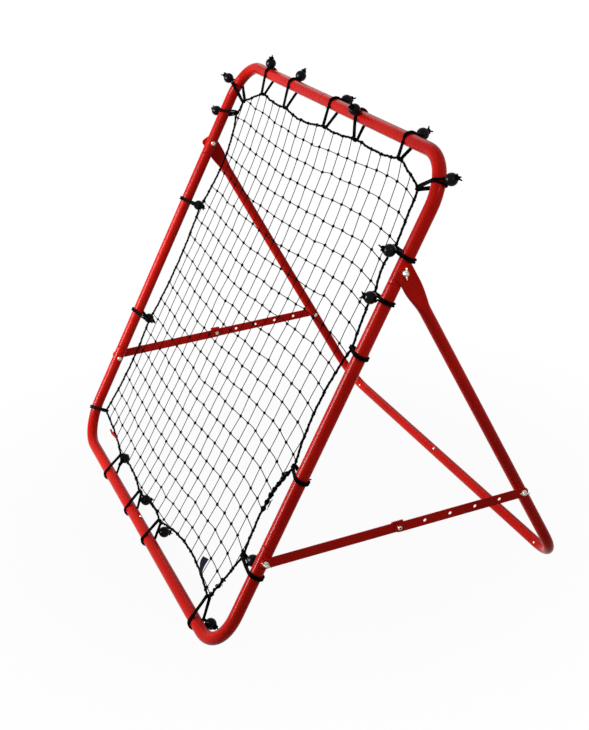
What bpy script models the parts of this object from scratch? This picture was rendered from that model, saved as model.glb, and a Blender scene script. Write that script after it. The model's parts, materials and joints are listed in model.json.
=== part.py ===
# Soccer rebounder: a leaning tube frame with a net held by elastic ties, a folding rear
# leg and two adjustable flat struts. Metres, +Z up, +Y to the back, +X to the right.

from math import acos, atan2, cos, degrees, hypot, pi, radians, sin, tau

import bmesh
import bpy
import numpy as np
from mathutils import Matrix, Vector

# Stand
FRAME_WIDTH = 1.03
FRAME_LENGTH = 1.00
STAND_DEPTH = 0.72
LEG_LENGTH = 0.759
PIVOT_HEIGHT = 0.774
FRONT_BOLT_HEIGHT = 0.205
REAR_BOLT_DROP = 0.541

# Tubes
RAIL_DIAMETER = 0.025
LEG_DIAMETER = 0.022
TUBE_WALL = 0.0012
CORNER_RADIUS = 0.088
FOOT_RADIUS = 0.086
RAIL_SIDES = 16
LEG_SIDES = 12
BEND_STEPS = 7
GAP = 0.0003

# Joints between tubes
BOLT_TO_SEAM = 0.026
UPPER_SEAM = PIVOT_HEIGHT - BOLT_TO_SEAM
LOWER_SEAM = FRONT_BOLT_HEIGHT + BOLT_TO_SEAM
LEG_SEAM_DROP = REAR_BOLT_DROP - BOLT_TO_SEAM
TOP_SEAM = -0.034
BOTTOM_SEAM = -0.050
FOOT_SEAM = -0.050
SPIGOT = 0.045
MIDDLE_SPIGOT = 0.060
MIDDLE_SCREW = -0.020

# Flattened leg top
PADDLE_WIDTH = 0.0345
PADDLE_THICKNESS = 0.0038
PADDLE_TIP = 0.011
PADDLE_CORNER = 0.007
PADDLE_FLAT = 0.030
PADDLE_TAPER = 0.055
LEG_LEAN = 0.0151

# Struts
BAR_WIDTH = 0.020
BAR_THICKNESS = 0.0025
BAR_CORNER_STEPS = 6
HOLE_PITCHES = 5
TAB_FRONT = 0.0145
TAB_REAR = 0.0075
TAB_ROOT = 0.004
TAB_RISE = 0.002
TAB_THICKNESS = 0.0025

# Screws
BOLT_DIAMETER = 0.006
BOLT_CLEARANCE = 0.0003
BOLT_HEAD_DIAMETER = 0.010
BOLT_HEAD_HEIGHT = 0.0028
BOLT_SIDES = 12
THREAD_END = 0.002
WING_NUT_HUB = 0.0105
WING_NUT_HEIGHT = 0.006
WING_SPAN = 0.019
WING_HEIGHT = 0.0075
WING_THICKNESS = 0.0016
# Outline of one wing: share of the wing height, share of the half span.
WING_OUTLINE = ((0.13, 0.28), (0.29, 0.8), (0.75, 1.0), (1.0, 0.84), (0.64, 0.28))
SCREW_HEAD_DIAMETER = 0.009
SCREW_HEAD_HEIGHT = 0.002
ADJUSTING_NUT_HEIGHT = 0.0032
JOINT_SCREW_DIAMETER = 0.004
JOINT_SCREW_HEAD = 0.008
JOINT_SCREW_HEAD_HEIGHT = 0.002
JOINT_SCREW_REACH = 0.003

# Net, border cord and elastic ties
NET_GAPS = 13
NET_BAR = 0.002
NET_CURVE_POINTS = 61
BORDER_DIAMETER = 0.004
BORDER_SAG = 0.065
BORDER_STRAIGHT = 0.006
TIE_DIAMETER = 0.0045
TIE_SIDES = 6
TIE_ARC_STEP = 42.0
TIE_NEAR_STEPS = 9
BALL_DIAMETER = 0.024
NET_INSET = 0.044
FLOOR_FLAT = TIE_DIAMETER / 10
FABRIC_SIZE = (0.012, 0.0015, 0.038)
FABRIC_SPAN = ("tie_bottom_2", "tie_bottom_1")
FABRIC_SHARE = 0.83
FABRIC_LEAN = 23.8

RAIL_RADIUS = RAIL_DIAMETER / 2
LEG_RADIUS = LEG_DIAMETER / 2
SIDE_X = (FRAME_WIDTH - RAIL_DIAMETER) / 2
TOP_Z = FRAME_LENGTH - RAIL_DIAMETER
HOLE_RADIUS = BOLT_DIAMETER / 2 + BOLT_CLEARANCE
FRAME_FACE = SIDE_X + RAIL_RADIUS
FRONT_BAR_X = FRAME_FACE + GAP + BAR_THICKNESS / 2
REAR_BAR_X = FRONT_BAR_X + BAR_THICKNESS + GAP
LEG_TOP_X = FRAME_FACE + GAP + PADDLE_THICKNESS / 2
LEG_FOOT_X = LEG_TOP_X - LEG_LEAN
BALL_REACH = RAIL_RADIUS + BALL_DIAMETER / 2 + 3 * GAP

# The bottom rail stands on the elastic ties that pass under it.
TIE_RADIUS = TIE_DIAMETER / 2
RAIL_REST = RAIL_RADIUS + GAP + TIE_RADIUS * (1 + cos(pi / TIE_SIDES)) - FLOOR_FLAT
FOOT_REST = LEG_RADIUS * cos(pi / LEG_SIDES)

# No tie sits where the flattened end of the leg turns.
PADDLE_REACH = PADDLE_CORNER + hypot(PADDLE_WIDTH / 2 - PADDLE_CORNER, PADDLE_TIP - PADDLE_CORNER)
TIE_LOW = PIVOT_HEIGHT - PADDLE_REACH - TIE_RADIUS - GAP
TIE_HIGH = PIVOT_HEIGHT + PADDLE_REACH + TIE_RADIUS + GAP


def stand_angles():
    # Triangle of bottom rail, pivot and rear floor bar gives both leans from the vertical.
    rise = FOOT_REST - RAIL_REST
    base = hypot(STAND_DEPTH, rise)
    cosine = (PIVOT_HEIGHT ** 2 + base ** 2 - LEG_LENGTH ** 2) / (2 * PIVOT_HEIGHT * base)
    lean = pi / 2 - acos(cosine) - atan2(rise, STAND_DEPTH)
    pivot = (PIVOT_HEIGHT * sin(lean), RAIL_REST + PIVOT_HEIGHT * cos(lean))
    leg_lean = atan2(STAND_DEPTH - pivot[0], pivot[1] - FOOT_REST)
    return lean, leg_lean, pivot


FRAME_LEAN, REAR_LEAN, PIVOT = stand_angles()
FRONT_BOLT = (FRONT_BOLT_HEIGHT * sin(FRAME_LEAN), RAIL_REST + FRONT_BOLT_HEIGHT * cos(FRAME_LEAN))
REAR_BOLT = (PIVOT[0] + REAR_BOLT_DROP * sin(REAR_LEAN), PIVOT[1] - REAR_BOLT_DROP * cos(REAR_LEAN))
STRUT_LENGTH = hypot(REAR_BOLT[0] - FRONT_BOLT[0], REAR_BOLT[1] - FRONT_BOLT[1])
STRUT_RISE = atan2(REAR_BOLT[1] - FRONT_BOLT[1], REAR_BOLT[0] - FRONT_BOLT[0])
BAR_LENGTH = STRUT_LENGTH / 2
HOLE_PITCH = BAR_LENGTH / HOLE_PITCHES

# Elastic ties: rail, place along it, then how far the border cord lies inside the rail and
# slips along it (in net insets), then the ball: angle round the tube from outward to the
# front, reach and shift along the rail (in ball reaches). A place on the top or floor bar is
# a share of its half width. On a side, 0 to 1 runs from the floor bar to below the leg's
# flattened end, and 1 to 2 from above it to the top bar.
TIES = {
    "tie_top_1": ("top", -0.679, 1.0, 0.02, 25, 1.0, 0.0),
    "tie_top_2": ("top", -0.402, 1.07, -0.02, 0, 1.0, 0.25),
    "tie_top_3": ("top", 0.032, 1.02, -0.20, -60, 1.0, 0.0),
    "tie_top_4": ("top", 0.275, 0.89, 0.25, 65, 1.0, 0.12),
    "tie_top_5": ("top", 0.685, 0.77, -0.16, -35, 1.0, 0.50),
    "tie_corner_left": ("left", 1.701, 1.53, -0.59, 30, 1.21, 0.21),
    "tie_corner_right": ("right", 1.756, 1.47, -0.52, 15, 1.12, 0.25),
    "tie_left_1": ("left", 1.307, 1.44, 0.32, 15, 1.08, 0.0),
    "tie_left_2": ("left", 0.830, 2.01, 0.27, -115, 1.0, 0.0),
    "tie_left_3": ("left", 0.438, 1.83, 0.25, -125, 1.0, 0.0),
    "tie_left_4": ("left", 0.085, 1.47, 0.50, -100, 1.0, 0.0),
    "tie_right_1": ("right", 1.019, 1.15, 0.07, 125, 1.21, 0.0),
    "tie_right_2": ("right", 0.956, 0.94, 0.02, 150, 1.12, 0.12),
    "tie_right_3": ("right", 0.812, 0.83, 0.05, -110, 1.0, 0.0),
    "tie_right_4": ("right", 0.490, 0.94, 0.16, -110, 1.0, 0.0),
    "tie_right_5": ("right", 0.231, 1.56, 0.05, 175, 1.21, 0.42),
    "tie_bottom_1": ("bottom", 0.762, 1.22, 0.06, -150, 1.21, 0.75),
    "tie_bottom_2": ("bottom", 0.117, 1.05, 0.30, -141, 1.29, 0.17),
    "tie_bottom_3": ("bottom", -0.155, 0.91, -0.11, -140, 1.29, 0.0),
    "tie_bottom_4": ("bottom", -0.513, 1.07, 0.05, -141, 1.67, -0.62),
}
NET_CORNERS = ("tie_left_4", "tie_bottom_1", "tie_corner_right", "tie_corner_left")
BORDER_ORDER = (
    "tie_left_4", "tie_bottom_4", "tie_bottom_3", "tie_bottom_2", "tie_bottom_1",
    "tie_right_5", "tie_right_4", "tie_right_3", "tie_right_2", "tie_right_1",
    "tie_corner_right", "tie_top_5", "tie_top_4", "tie_top_3", "tie_top_2", "tie_top_1",
    "tie_corner_left", "tie_left_1", "tie_left_2", "tie_left_3",
)


def clear_scene():
    for item in list(bpy.data.objects):
        bpy.data.objects.remove(item, do_unlink=True)


def make_material(name, colour, roughness, metallic=0.0):
    material = bpy.data.materials.new(name)
    material.use_nodes = True
    shader = material.node_tree.nodes["Principled BSDF"]
    shader.inputs["Base Color"].default_value = (*colour, 1.0)
    shader.inputs["Roughness"].default_value = roughness
    shader.inputs["Metallic"].default_value = metallic
    return material


def make_empty(name, place, turn):
    empty = bpy.data.objects.new(name, None)
    empty.location = place
    empty.rotation_euler = (turn, 0.0, 0.0)
    bpy.context.collection.objects.link(empty)
    return empty


def mesh_object(name, mesh, material=None, parent=None, smooth=True):
    item = bpy.data.objects.new(name, mesh)
    bpy.context.collection.objects.link(item)
    if material is not None:
        mesh.materials.clear()
        mesh.materials.append(material)
    if smooth:
        mesh.shade_smooth()
        mesh.set_sharp_from_angle(angle=radians(35))
    item.parent = parent
    return item


def mesh_from(shape, name="shape"):
    bmesh.ops.recalc_face_normals(shape, faces=shape.faces)
    mesh = bpy.data.meshes.new(name)
    shape.to_mesh(mesh)
    shape.free()
    return mesh


def combine(base, tool, operation):
    # Joins or cuts two meshes and returns the new mesh.
    first = bpy.data.objects.new("first", base)
    second = bpy.data.objects.new("second", tool)
    for item in (first, second):
        bpy.context.collection.objects.link(item)
    step = first.modifiers.new("combine", "BOOLEAN")
    step.operation = operation
    step.solver = "EXACT"
    step.object = second
    graph = bpy.context.evaluated_depsgraph_get()
    result = bpy.data.meshes.new_from_object(first.evaluated_get(graph))
    for item in (first, second):
        bpy.data.objects.remove(item, do_unlink=True)
    return result


def loft(rings, closed=False):
    # Skins an array of rings, shape (rings, points, 3), and caps its two ends unless closed.
    shape = bmesh.new()
    rows = [[shape.verts.new(point) for point in ring] for ring in rings]
    pairs = list(zip(rows, rows[1:]))
    if closed:
        pairs.append((rows[-1], rows[0]))
    for low, high in pairs:
        for i in range(len(low)):
            j = (i + 1) % len(low)
            shape.faces.new((low[i], low[j], high[j], high[i]))
    if not closed:
        shape.faces.new(rows[0][::-1])
        shape.faces.new(rows[-1])
    return mesh_from(shape)


def cylinder(start, end, radius, sides=BOLT_SIDES, end_radius=None):
    start, end = Vector(start), Vector(end)
    axis = (end - start).normalized()
    turn = Vector((0, 0, 1)).rotation_difference(axis).to_matrix().to_4x4()
    shape = bmesh.new()
    bmesh.ops.create_cone(
        shape, cap_ends=True, segments=sides, radius1=radius,
        radius2=radius if end_radius is None else end_radius, depth=(end - start).length,
        matrix=Matrix.Translation((start + end) / 2) @ turn)
    return mesh_from(shape)


def box(low, high):
    low, high = Vector(low), Vector(high)
    shape = bmesh.new()
    size = Matrix.Diagonal((*(high - low), 1.0))
    bmesh.ops.create_cube(shape, size=1.0, matrix=Matrix.Translation((low + high) / 2) @ size)
    return mesh_from(shape)


def planar_frames(path, closed=False):
    # Unit directions across a path that lies in the x-z plane, mitred at each point.
    path = np.asarray(path, float)
    steps = np.diff(path, axis=0)
    moved = np.linalg.norm(steps, axis=1) > 1e-9
    for i in np.flatnonzero(~moved):
        steps[i] = steps[i - 1] if i else steps[np.flatnonzero(moved)[0]]
    steps /= np.linalg.norm(steps, axis=1)[:, None]
    before = np.vstack([steps[:1], steps])
    after = np.vstack([steps, steps[-1:]])
    if closed:
        wrap = path[0] - path[-1]
        wrap /= np.linalg.norm(wrap)
        before[0] = wrap
        after[-1] = wrap
    along = before + after
    along /= np.linalg.norm(along, axis=1)[:, None]
    across = np.stack([along[:, 2], np.zeros(len(path)), -along[:, 0]], 1)
    stretch = 1 / np.sum(along * after, axis=1)
    return across, stretch


def rings_along(path, radii, sides, phase=0.0, closed=False):
    # One ring of points for each place on a path in the x-z plane.
    across, stretch = planar_frames(path, closed)
    angle = phase + (np.arange(sides) + 0.5) * tau / sides
    side = np.cos(angle)[None, :, None] * (across * stretch[:, None])[:, None, :]
    depth = np.sin(angle)[None, :, None] * np.array([0.0, 1.0, 0.0])
    return np.asarray(path)[:, None, :] + np.asarray(radii)[:, None, None] * (side + depth)


def tube(path, outer, inner, sides, phase=0.0):
    # Hollow tube with open ends: the outside runs to the far end and the bore comes back.
    skin = rings_along(path, outer, sides, phase)
    bore = rings_along(path, inner, sides, phase)[::-1]
    return loft(np.concatenate([skin, bore]), closed=True)


def bent_path(start, corner, end, radius):
    # Straight, arc, straight between three points in the x-z plane.
    start, corner, end = (np.array([p[0], 0.0, p[1]]) for p in (start, corner, end))
    leave = (start - corner) / np.linalg.norm(start - corner)
    arrive = (end - corner) / np.linalg.norm(end - corner)
    half = acos(float(leave @ arrive)) / 2
    bisector = (leave + arrive) / np.linalg.norm(leave + arrive)
    centre = corner + bisector * radius / sin(half)
    first = corner + leave * radius / np.tan(half) - centre
    last = corner + arrive * radius / np.tan(half) - centre
    sweep = pi - 2 * half
    share = np.linspace(0, 1, BEND_STEPS + 1)[:, None]
    arc = (first * np.sin((1 - share) * sweep) + last * np.sin(share * sweep)) / sin(sweep)
    return np.vstack([start, centre + arc, end])


def with_spigot(path, diameter, length, at_start=False):
    # Adds a reduced end that slides into the next tube; gives path and both radii.
    outer = diameter / 2
    inner = outer - TUBE_WALL
    slim = inner - GAP
    path = path[::-1] if at_start else path
    tip = path[-1] + (path[-1] - path[-2]) / np.linalg.norm(path[-1] - path[-2]) * length
    path = np.vstack([path, path[-1], tip])
    skin = np.array([outer] * (len(path) - 2) + [slim] * 2)
    bore = skin - TUBE_WALL
    bore[-3] = slim - TUBE_WALL
    if at_start:
        return path[::-1], skin[::-1], bore[::-1]
    return path, skin, bore


def plain_tube(path, diameter, sides, phase=0.0):
    outer = np.full(len(path), diameter / 2)
    return tube(path, outer, outer - TUBE_WALL, sides, phase)


def drill(mesh, centre, axis, radius, length):
    # Drills right through; the length counts to each side of the centre.
    centre, axis = Vector(centre), Vector(axis)
    return combine(mesh, cylinder(centre - axis * length, centre + axis * length, radius),
                   "DIFFERENCE")


def drill_in(mesh, centre, axis, radius, length):
    # Drills one wall only, from the middle of the tube outwards.
    centre, axis = Vector(centre), Vector(axis)
    return combine(mesh, cylinder(centre, centre + axis * length, radius), "DIFFERENCE")


def mirrored(mesh):
    copy = mesh.copy()
    copy.transform(Matrix.Diagonal((-1, 1, 1, 1)))
    copy.flip_normals()
    return copy


def frame_tubes(paint, parent):
    # Four bent corners and two straight sides; the ends are reduced and slide into each other.
    screw_hole = JOINT_SCREW_DIAMETER / 2 + BOLT_CLEARANCE
    side_phase = -FRAME_LEAN
    corners = {
        "top_corner": (TOP_Z, UPPER_SEAM, TOP_SEAM, PIVOT_HEIGHT, -1),
        "bottom_corner": (0.0, LOWER_SEAM, BOTTOM_SEAM, FRONT_BOLT_HEIGHT, 1),
    }
    for name, (bar_z, seam_z, seam_x, bolt_z, inward) in corners.items():
        for side, sign in (("right", 1), ("left", -1)):
            seam = (seam_x + (GAP if sign > 0 else 0), bar_z)
            path = bent_path((sign * SIDE_X, seam_z - inward * GAP), (sign * SIDE_X, bar_z), seam,
                             CORNER_RADIUS)
            if sign > 0:
                mesh = plain_tube(path, RAIL_DIAMETER, RAIL_SIDES, side_phase)
            else:
                path, skin, bore = with_spigot(path, RAIL_DIAMETER, MIDDLE_SPIGOT)
                mesh = tube(path, skin, bore, RAIL_SIDES, side_phase)
            mesh = drill(mesh, (sign * SIDE_X, 0, bolt_z), (1, 0, 0), HOLE_RADIUS, RAIL_DIAMETER)
            mesh = drill_in(mesh, (MIDDLE_SCREW, 0, bar_z), (0, 0, inward), screw_hole, RAIL_DIAMETER)
            mesh_object(f"{name}_{side}", mesh, paint, parent)
    path = np.array([[SIDE_X, 0, LOWER_SEAM], [SIDE_X, 0, UPPER_SEAM]])
    path, skin, bore = with_spigot(path, RAIL_DIAMETER, SPIGOT)
    lower = path[0] - [0, 0, SPIGOT]
    path = np.vstack([lower, path[0], path])
    skin = np.concatenate([[skin[-1]] * 2, skin])
    bore = np.full(len(path), skin[0] - TUBE_WALL)
    mesh = tube(path, skin, bore, RAIL_SIDES)
    for bolt_z in (PIVOT_HEIGHT, FRONT_BOLT_HEIGHT):
        mesh = drill(mesh, (SIDE_X, 0, bolt_z), (1, 0, 0), HOLE_RADIUS, RAIL_DIAMETER)
    mesh_object("side_tube_right", mesh, paint, parent)
    mesh_object("side_tube_left", mirrored(mesh), paint, parent)


def paddle_ring(half_thickness, half_width, height, centre_x, sharpness):
    # Flattened round: a superellipse whose corners get squarer as the tube is pressed flat.
    angle = (np.arange(LEG_SIDES) + 0.5) * tau / LEG_SIDES
    x = np.sign(np.cos(angle)) * np.abs(np.cos(angle)) ** (2 / sharpness)
    y = np.sign(np.sin(angle)) * np.abs(np.sin(angle)) ** (2 / sharpness)
    return np.stack([centre_x + half_thickness * x, half_width * y, np.full(LEG_SIDES, height)], 1)


def leg_axis_x(height):
    return LEG_TOP_X + LEG_LEAN * height / LEG_LENGTH


def leg_tubes(paint, parent):
    flat = PADDLE_THICKNESS / 2
    wide = PADDLE_WIDTH / 2
    rings = [paddle_ring(flat, wide - PADDLE_CORNER * (1 - cos(turn)),
                         PADDLE_TIP - PADDLE_CORNER * (1 - sin(turn)), LEG_TOP_X, 5)
             for turn in np.radians((90, 60, 30, 0))]
    rings.append(paddle_ring(flat, wide, -PADDLE_FLAT, LEG_TOP_X, 5))
    for share in (0.3, 0.6, 1.0):
        ease = share * share * (3 - 2 * share)
        height = -PADDLE_FLAT - PADDLE_TAPER * share
        rings.append(paddle_ring(flat + (LEG_RADIUS - flat) * ease, wide + (LEG_RADIUS - wide) * ease,
                                 height, leg_axis_x(height), 5 - 3 * ease))
    slim = LEG_RADIUS - TUBE_WALL - GAP
    round_end = -PADDLE_FLAT - PADDLE_TAPER
    tip = -LEG_SEAM_DROP - SPIGOT
    for height, radius in ((-LEG_SEAM_DROP, LEG_RADIUS), (-LEG_SEAM_DROP, slim), (tip, slim),
                           (tip, slim - TUBE_WALL), (round_end, slim - TUBE_WALL)):
        rings.append(paddle_ring(radius, radius, height, leg_axis_x(height), 2))
    mesh = loft(np.array(rings))
    mesh = drill(mesh, (LEG_TOP_X, 0, 0), (1, 0, 0), HOLE_RADIUS, LEG_DIAMETER)
    bolt_x = leg_axis_x(-REAR_BOLT_DROP)
    mesh = drill(mesh, (bolt_x, 0, -REAR_BOLT_DROP), (1, 0, 0), HOLE_RADIUS, LEG_DIAMETER)
    mesh_object("leg_tube_right", mesh, paint, parent)
    mesh_object("leg_tube_left", mirrored(mesh), paint, parent)
    for side, sign in (("right", 1), ("left", -1)):
        start = -LEG_SEAM_DROP - 2 * GAP
        seam = (FOOT_SEAM + (GAP if sign > 0 else 0), -LEG_LENGTH)
        path = bent_path((sign * leg_axis_x(start), start), (sign * LEG_FOOT_X, -LEG_LENGTH), seam,
                         FOOT_RADIUS)
        phase = sign * (REAR_LEAN + pi)
        if sign > 0:
            mesh = plain_tube(path, LEG_DIAMETER, LEG_SIDES, phase)
        else:
            path, skin, bore = with_spigot(path, LEG_DIAMETER, MIDDLE_SPIGOT)
            mesh = tube(path, skin, bore, LEG_SIDES, phase)
        mesh = drill(mesh, (sign * bolt_x, 0, -REAR_BOLT_DROP), (1, 0, 0), HOLE_RADIUS, LEG_DIAMETER)
        mesh = drill_in(mesh, (MIDDLE_SCREW, 0, -LEG_LENGTH), (0, 0, 1),
                        JOINT_SCREW_DIAMETER / 2 + BOLT_CLEARANCE, LEG_DIAMETER)
        mesh_object(f"foot_tube_{side}", mesh, paint, parent)


def lathe(profile, sides=BOLT_SIDES):
    # Turns (radius, x) pairs round the x axis.
    angle = np.arange(sides) * tau / sides
    rings = [np.stack([np.full(sides, x), r * np.cos(angle), r * np.sin(angle)], 1)
             for r, x in profile]
    return loft(np.array(rings))


def bolt_mesh(length, head_diameter=BOLT_HEAD_DIAMETER, head_height=BOLT_HEAD_HEIGHT,
              diameter=BOLT_DIAMETER):
    # Domed head to the inside (x below 0), shank along +x.
    head, shank = head_diameter / 2, diameter / 2
    tip = shank / 5
    return lathe([(head * 0.6, -head_height), (head, -head_height * 0.4), (head, 0.0),
                  (shank, 0.0), (shank, length - tip), (shank - tip, length)], 10)


def wing_nut_mesh(turn):
    # Conical hub with two raised wings, bored through.
    hub = WING_NUT_HUB / 2
    mesh = cylinder((0, 0, 0), (WING_NUT_HEIGHT, 0, 0), hub, end_radius=hub * 0.78)
    shape = bmesh.new()
    outline = [(x * WING_HEIGHT, y * WING_SPAN / 2) for x, y in WING_OUTLINE]
    for sign in (1, -1):
        rows = [[shape.verts.new((x, sign * y, side * WING_THICKNESS / 2)) for x, y in outline]
                for side in (-1, 1)]
        shape.faces.new(rows[0])
        shape.faces.new(rows[1][::-1])
        for i in range(len(outline)):
            j = (i + 1) % len(outline)
            shape.faces.new((rows[0][i], rows[1][i], rows[1][j], rows[0][j]))
    mesh = combine(mesh, mesh_from(shape), "UNION")
    mesh = drill(mesh, (0, 0, 0), (1, 0, 0), HOLE_RADIUS, WING_NUT_HEIGHT * 2)
    mesh.transform(Matrix.Rotation(turn, 4, "X"))
    return mesh


def placed(mesh, name, place, material, parent, sign=1):
    copy = mesh.copy() if sign > 0 else mirrored(mesh)
    item = mesh_object(name, copy, material, parent)
    item.location = (sign * place[0], place[1], place[2])
    return item


def strut_bars(paint, fronts, rears):
    # Flat bars with round ends; the front bar's tab is bent over the upper edge of the rear bar.
    front = flat_bar(FRONT_BAR_X, (0, HOLE_PITCHES))
    tab_foot = (BAR_LENGTH - TAB_FRONT, BAR_LENGTH + TAB_REAR)
    top = BAR_WIDTH / 2 + TAB_RISE + TAB_THICKNESS
    outside = REAR_BAR_X + BAR_THICKNESS / 2 + 2 * GAP
    half = BAR_THICKNESS / 2
    standing = box((FRONT_BAR_X - half, tab_foot[0], BAR_WIDTH / 2 - TAB_ROOT),
                   (FRONT_BAR_X + half, tab_foot[1], top))
    lying = box((FRONT_BAR_X, tab_foot[0], BAR_WIDTH / 2 + TAB_RISE), (outside, tab_foot[1], top))
    front = combine(front, combine(standing, lying, "UNION"), "UNION")
    rear = flat_bar(REAR_BAR_X, range(HOLE_PITCHES + 1))
    rear.transform(Matrix.Rotation(pi, 4, "Z"))
    rear.transform(Matrix.Translation((2 * REAR_BAR_X, 0, 0)))
    for side, sign in (("right", 1), ("left", -1)):
        for name, mesh, parent in (("strut_front_bar", front, fronts), ("strut_rear_bar", rear, rears)):
            copy = mesh.copy() if sign > 0 else mirrored(mesh)
            mesh_object(f"{name}_{side}", copy, paint, parent)


def flat_bar(middle, holes):
    # Lies along +y from its pivot hole; holes are counted in pitches.
    half = BAR_WIDTH / 2
    turn = np.linspace(-pi / 2, pi / 2, BAR_CORNER_STEPS + 1)
    far = np.stack([BAR_LENGTH + half * np.cos(turn), half * np.sin(turn)], 1)
    near = np.stack([-half * np.cos(turn), -half * np.sin(turn)], 1)
    outline = np.concatenate([far, near])
    rings = [np.column_stack([np.full(len(outline), middle + side * BAR_THICKNESS / 2), outline])
             for side in (-1, 1)]
    mesh = loft(np.array(rings))
    for count in holes:
        mesh = drill(mesh, (middle, count * HOLE_PITCH, 0), (1, 0, 0), HOLE_RADIUS, BAR_THICKNESS)
    return mesh


def fasteners(zinc, frame, leg, fronts):
    outside_bar = FRONT_BAR_X + BAR_THICKNESS / 2 + GAP
    outside_rear = REAR_BAR_X + BAR_THICKNESS / 2 + GAP
    outside_paddle = LEG_TOP_X + PADDLE_THICKNESS / 2 + GAP
    inside_rail = SIDE_X - RAIL_RADIUS - GAP
    inside_leg = leg_axis_x(-REAR_BOLT_DROP) - LEG_RADIUS - GAP
    thread = WING_NUT_HEIGHT + THREAD_END
    nuts = {
        "pivot": (inside_rail, outside_paddle, frame, PIVOT_HEIGHT, radians(120)),
        "front_strut": (inside_rail, outside_bar, frame, FRONT_BOLT_HEIGHT, radians(70)),
        "rear_strut": (inside_leg, outside_rear, leg, -REAR_BOLT_DROP, radians(-40)),
    }
    for name, (inner, outer, parent, height, turn) in nuts.items():
        bolt = bolt_mesh(outer - inner + thread)
        nut = wing_nut_mesh(turn)
        for side, sign in (("right", 1), ("left", -1)):
            placed(bolt, f"{name}_bolt_{side}", (inner, 0, height), zinc, parent, sign)
            placed(nut, f"{name}_wing_nut_{side}", (outer, 0, height), zinc, parent, sign)
    inner = FRONT_BAR_X - BAR_THICKNESS / 2 - GAP
    screw = bolt_mesh(BAR_THICKNESS + GAP, SCREW_HEAD_DIAMETER, SCREW_HEAD_HEIGHT)
    ring = SCREW_HEAD_DIAMETER / 2
    nut = lathe([(ring, 0), (ring, ADJUSTING_NUT_HEIGHT * 0.7), (ring * 0.85, ADJUSTING_NUT_HEIGHT),
                 (ring * 0.6, ADJUSTING_NUT_HEIGHT), (ring * 0.55, ADJUSTING_NUT_HEIGHT * 1.5)])
    for side, sign in (("right", 1), ("left", -1)):
        placed(screw, f"adjusting_screw_{side}", (inner, BAR_LENGTH, 0), zinc, fronts, sign)
        placed(nut, f"adjusting_nut_{side}", (outside_rear, BAR_LENGTH, 0), zinc, fronts, sign)


def joint_screws(zinc, frame, leg):
    # Small screws that pin the tubes in the middle of each bar, heads towards the net or leg.
    places = {
        "top_joint_screw": (frame, TOP_Z, RAIL_RADIUS, -1),
        "bottom_joint_screw": (frame, 0.0, RAIL_RADIUS, 1),
        "foot_joint_screw": (leg, -LEG_LENGTH, LEG_RADIUS, 1),
    }
    for name, (parent, height, radius, up) in places.items():
        mesh = bolt_mesh(2 * TUBE_WALL + JOINT_SCREW_REACH, JOINT_SCREW_HEAD,
                         JOINT_SCREW_HEAD_HEIGHT, JOINT_SCREW_DIAMETER)
        mesh.transform(Matrix.Rotation(up * pi / 2, 4, "Y"))
        item = mesh_object(name, mesh, zinc, parent)
        item.location = (MIDDLE_SCREW, 0, height + up * (radius + GAP))


def rail_at(rail, share):
    # Middle of the tube, outward direction and direction along it, in the frame's own plane.
    if rail in ("top", "bottom"):
        up = 1 if rail == "top" else -1
        centre = np.array([share * SIDE_X, 0, TOP_Z if up > 0 else 0.0])
        return centre, np.array([0.0, 0, up]), np.array([1.0, 0, 0])
    sign = 1 if rail == "right" else -1
    place = share * TIE_LOW if share < 1 else TIE_HIGH + (share - 1) * (TOP_Z - TIE_HIGH)
    over = max(place - (TOP_Z - CORNER_RADIUS), 0) + min(place - CORNER_RADIUS, 0)
    turn = np.arcsin(over / CORNER_RADIUS)
    reach = SIDE_X - CORNER_RADIUS * (1 - cos(turn))
    outward = np.array([sign * cos(turn), 0, sin(turn)])
    return np.array([sign * reach, 0, place]), outward, np.array([-sign * sin(turn), 0, cos(turn)])


def tie_vertex(name):
    # Where the border cord passes through a tie: x and height in the frame's own plane.
    rail, share, inset, slip = TIES[name][:4]
    centre = rail_at(rail, share)[0]
    inset *= NET_INSET
    slip *= NET_INSET
    if rail in ("top", "bottom"):
        return np.array([centre[0] + slip, TOP_Z - inset if rail == "top" else inset])
    return np.array([SIDE_X - inset if rail == "right" else inset - SIDE_X, centre[2] + slip])


def arc(centre, along, reach, start, end, step):
    # Arc in the plane of one direction and the frame's normal (front is -y).
    count = round((end - start) / step)
    turn = np.radians(np.linspace(start, end, count + 1))[:, None]
    grow = 1 / cos(radians(step / 2))
    front = np.array([0.0, -1.0, 0.0])
    return centre + grow * (np.cos(turn) * along * reach[0] + np.sin(turn) * front * reach[1])


def swept(path, radius, sides, across):
    # Closed cord along a flat path whose plane has the given normal.
    ahead = np.roll(path, -1, axis=0) - path
    ahead /= np.linalg.norm(ahead, axis=1)[:, None]
    along = ahead + np.roll(ahead, 1, axis=0)
    along /= np.linalg.norm(along, axis=1)[:, None]
    out = np.cross(along, across)
    stretch = 1 / np.sum(along * ahead, axis=1)
    angle = (np.arange(sides) + 0.5) * tau / sides
    ring = (np.cos(angle)[None, :, None] * (out * stretch[:, None])[:, None, :]
            + np.sin(angle)[None, :, None] * across)
    return loft(path[:, None, :] + radius * ring, closed=True)


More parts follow.
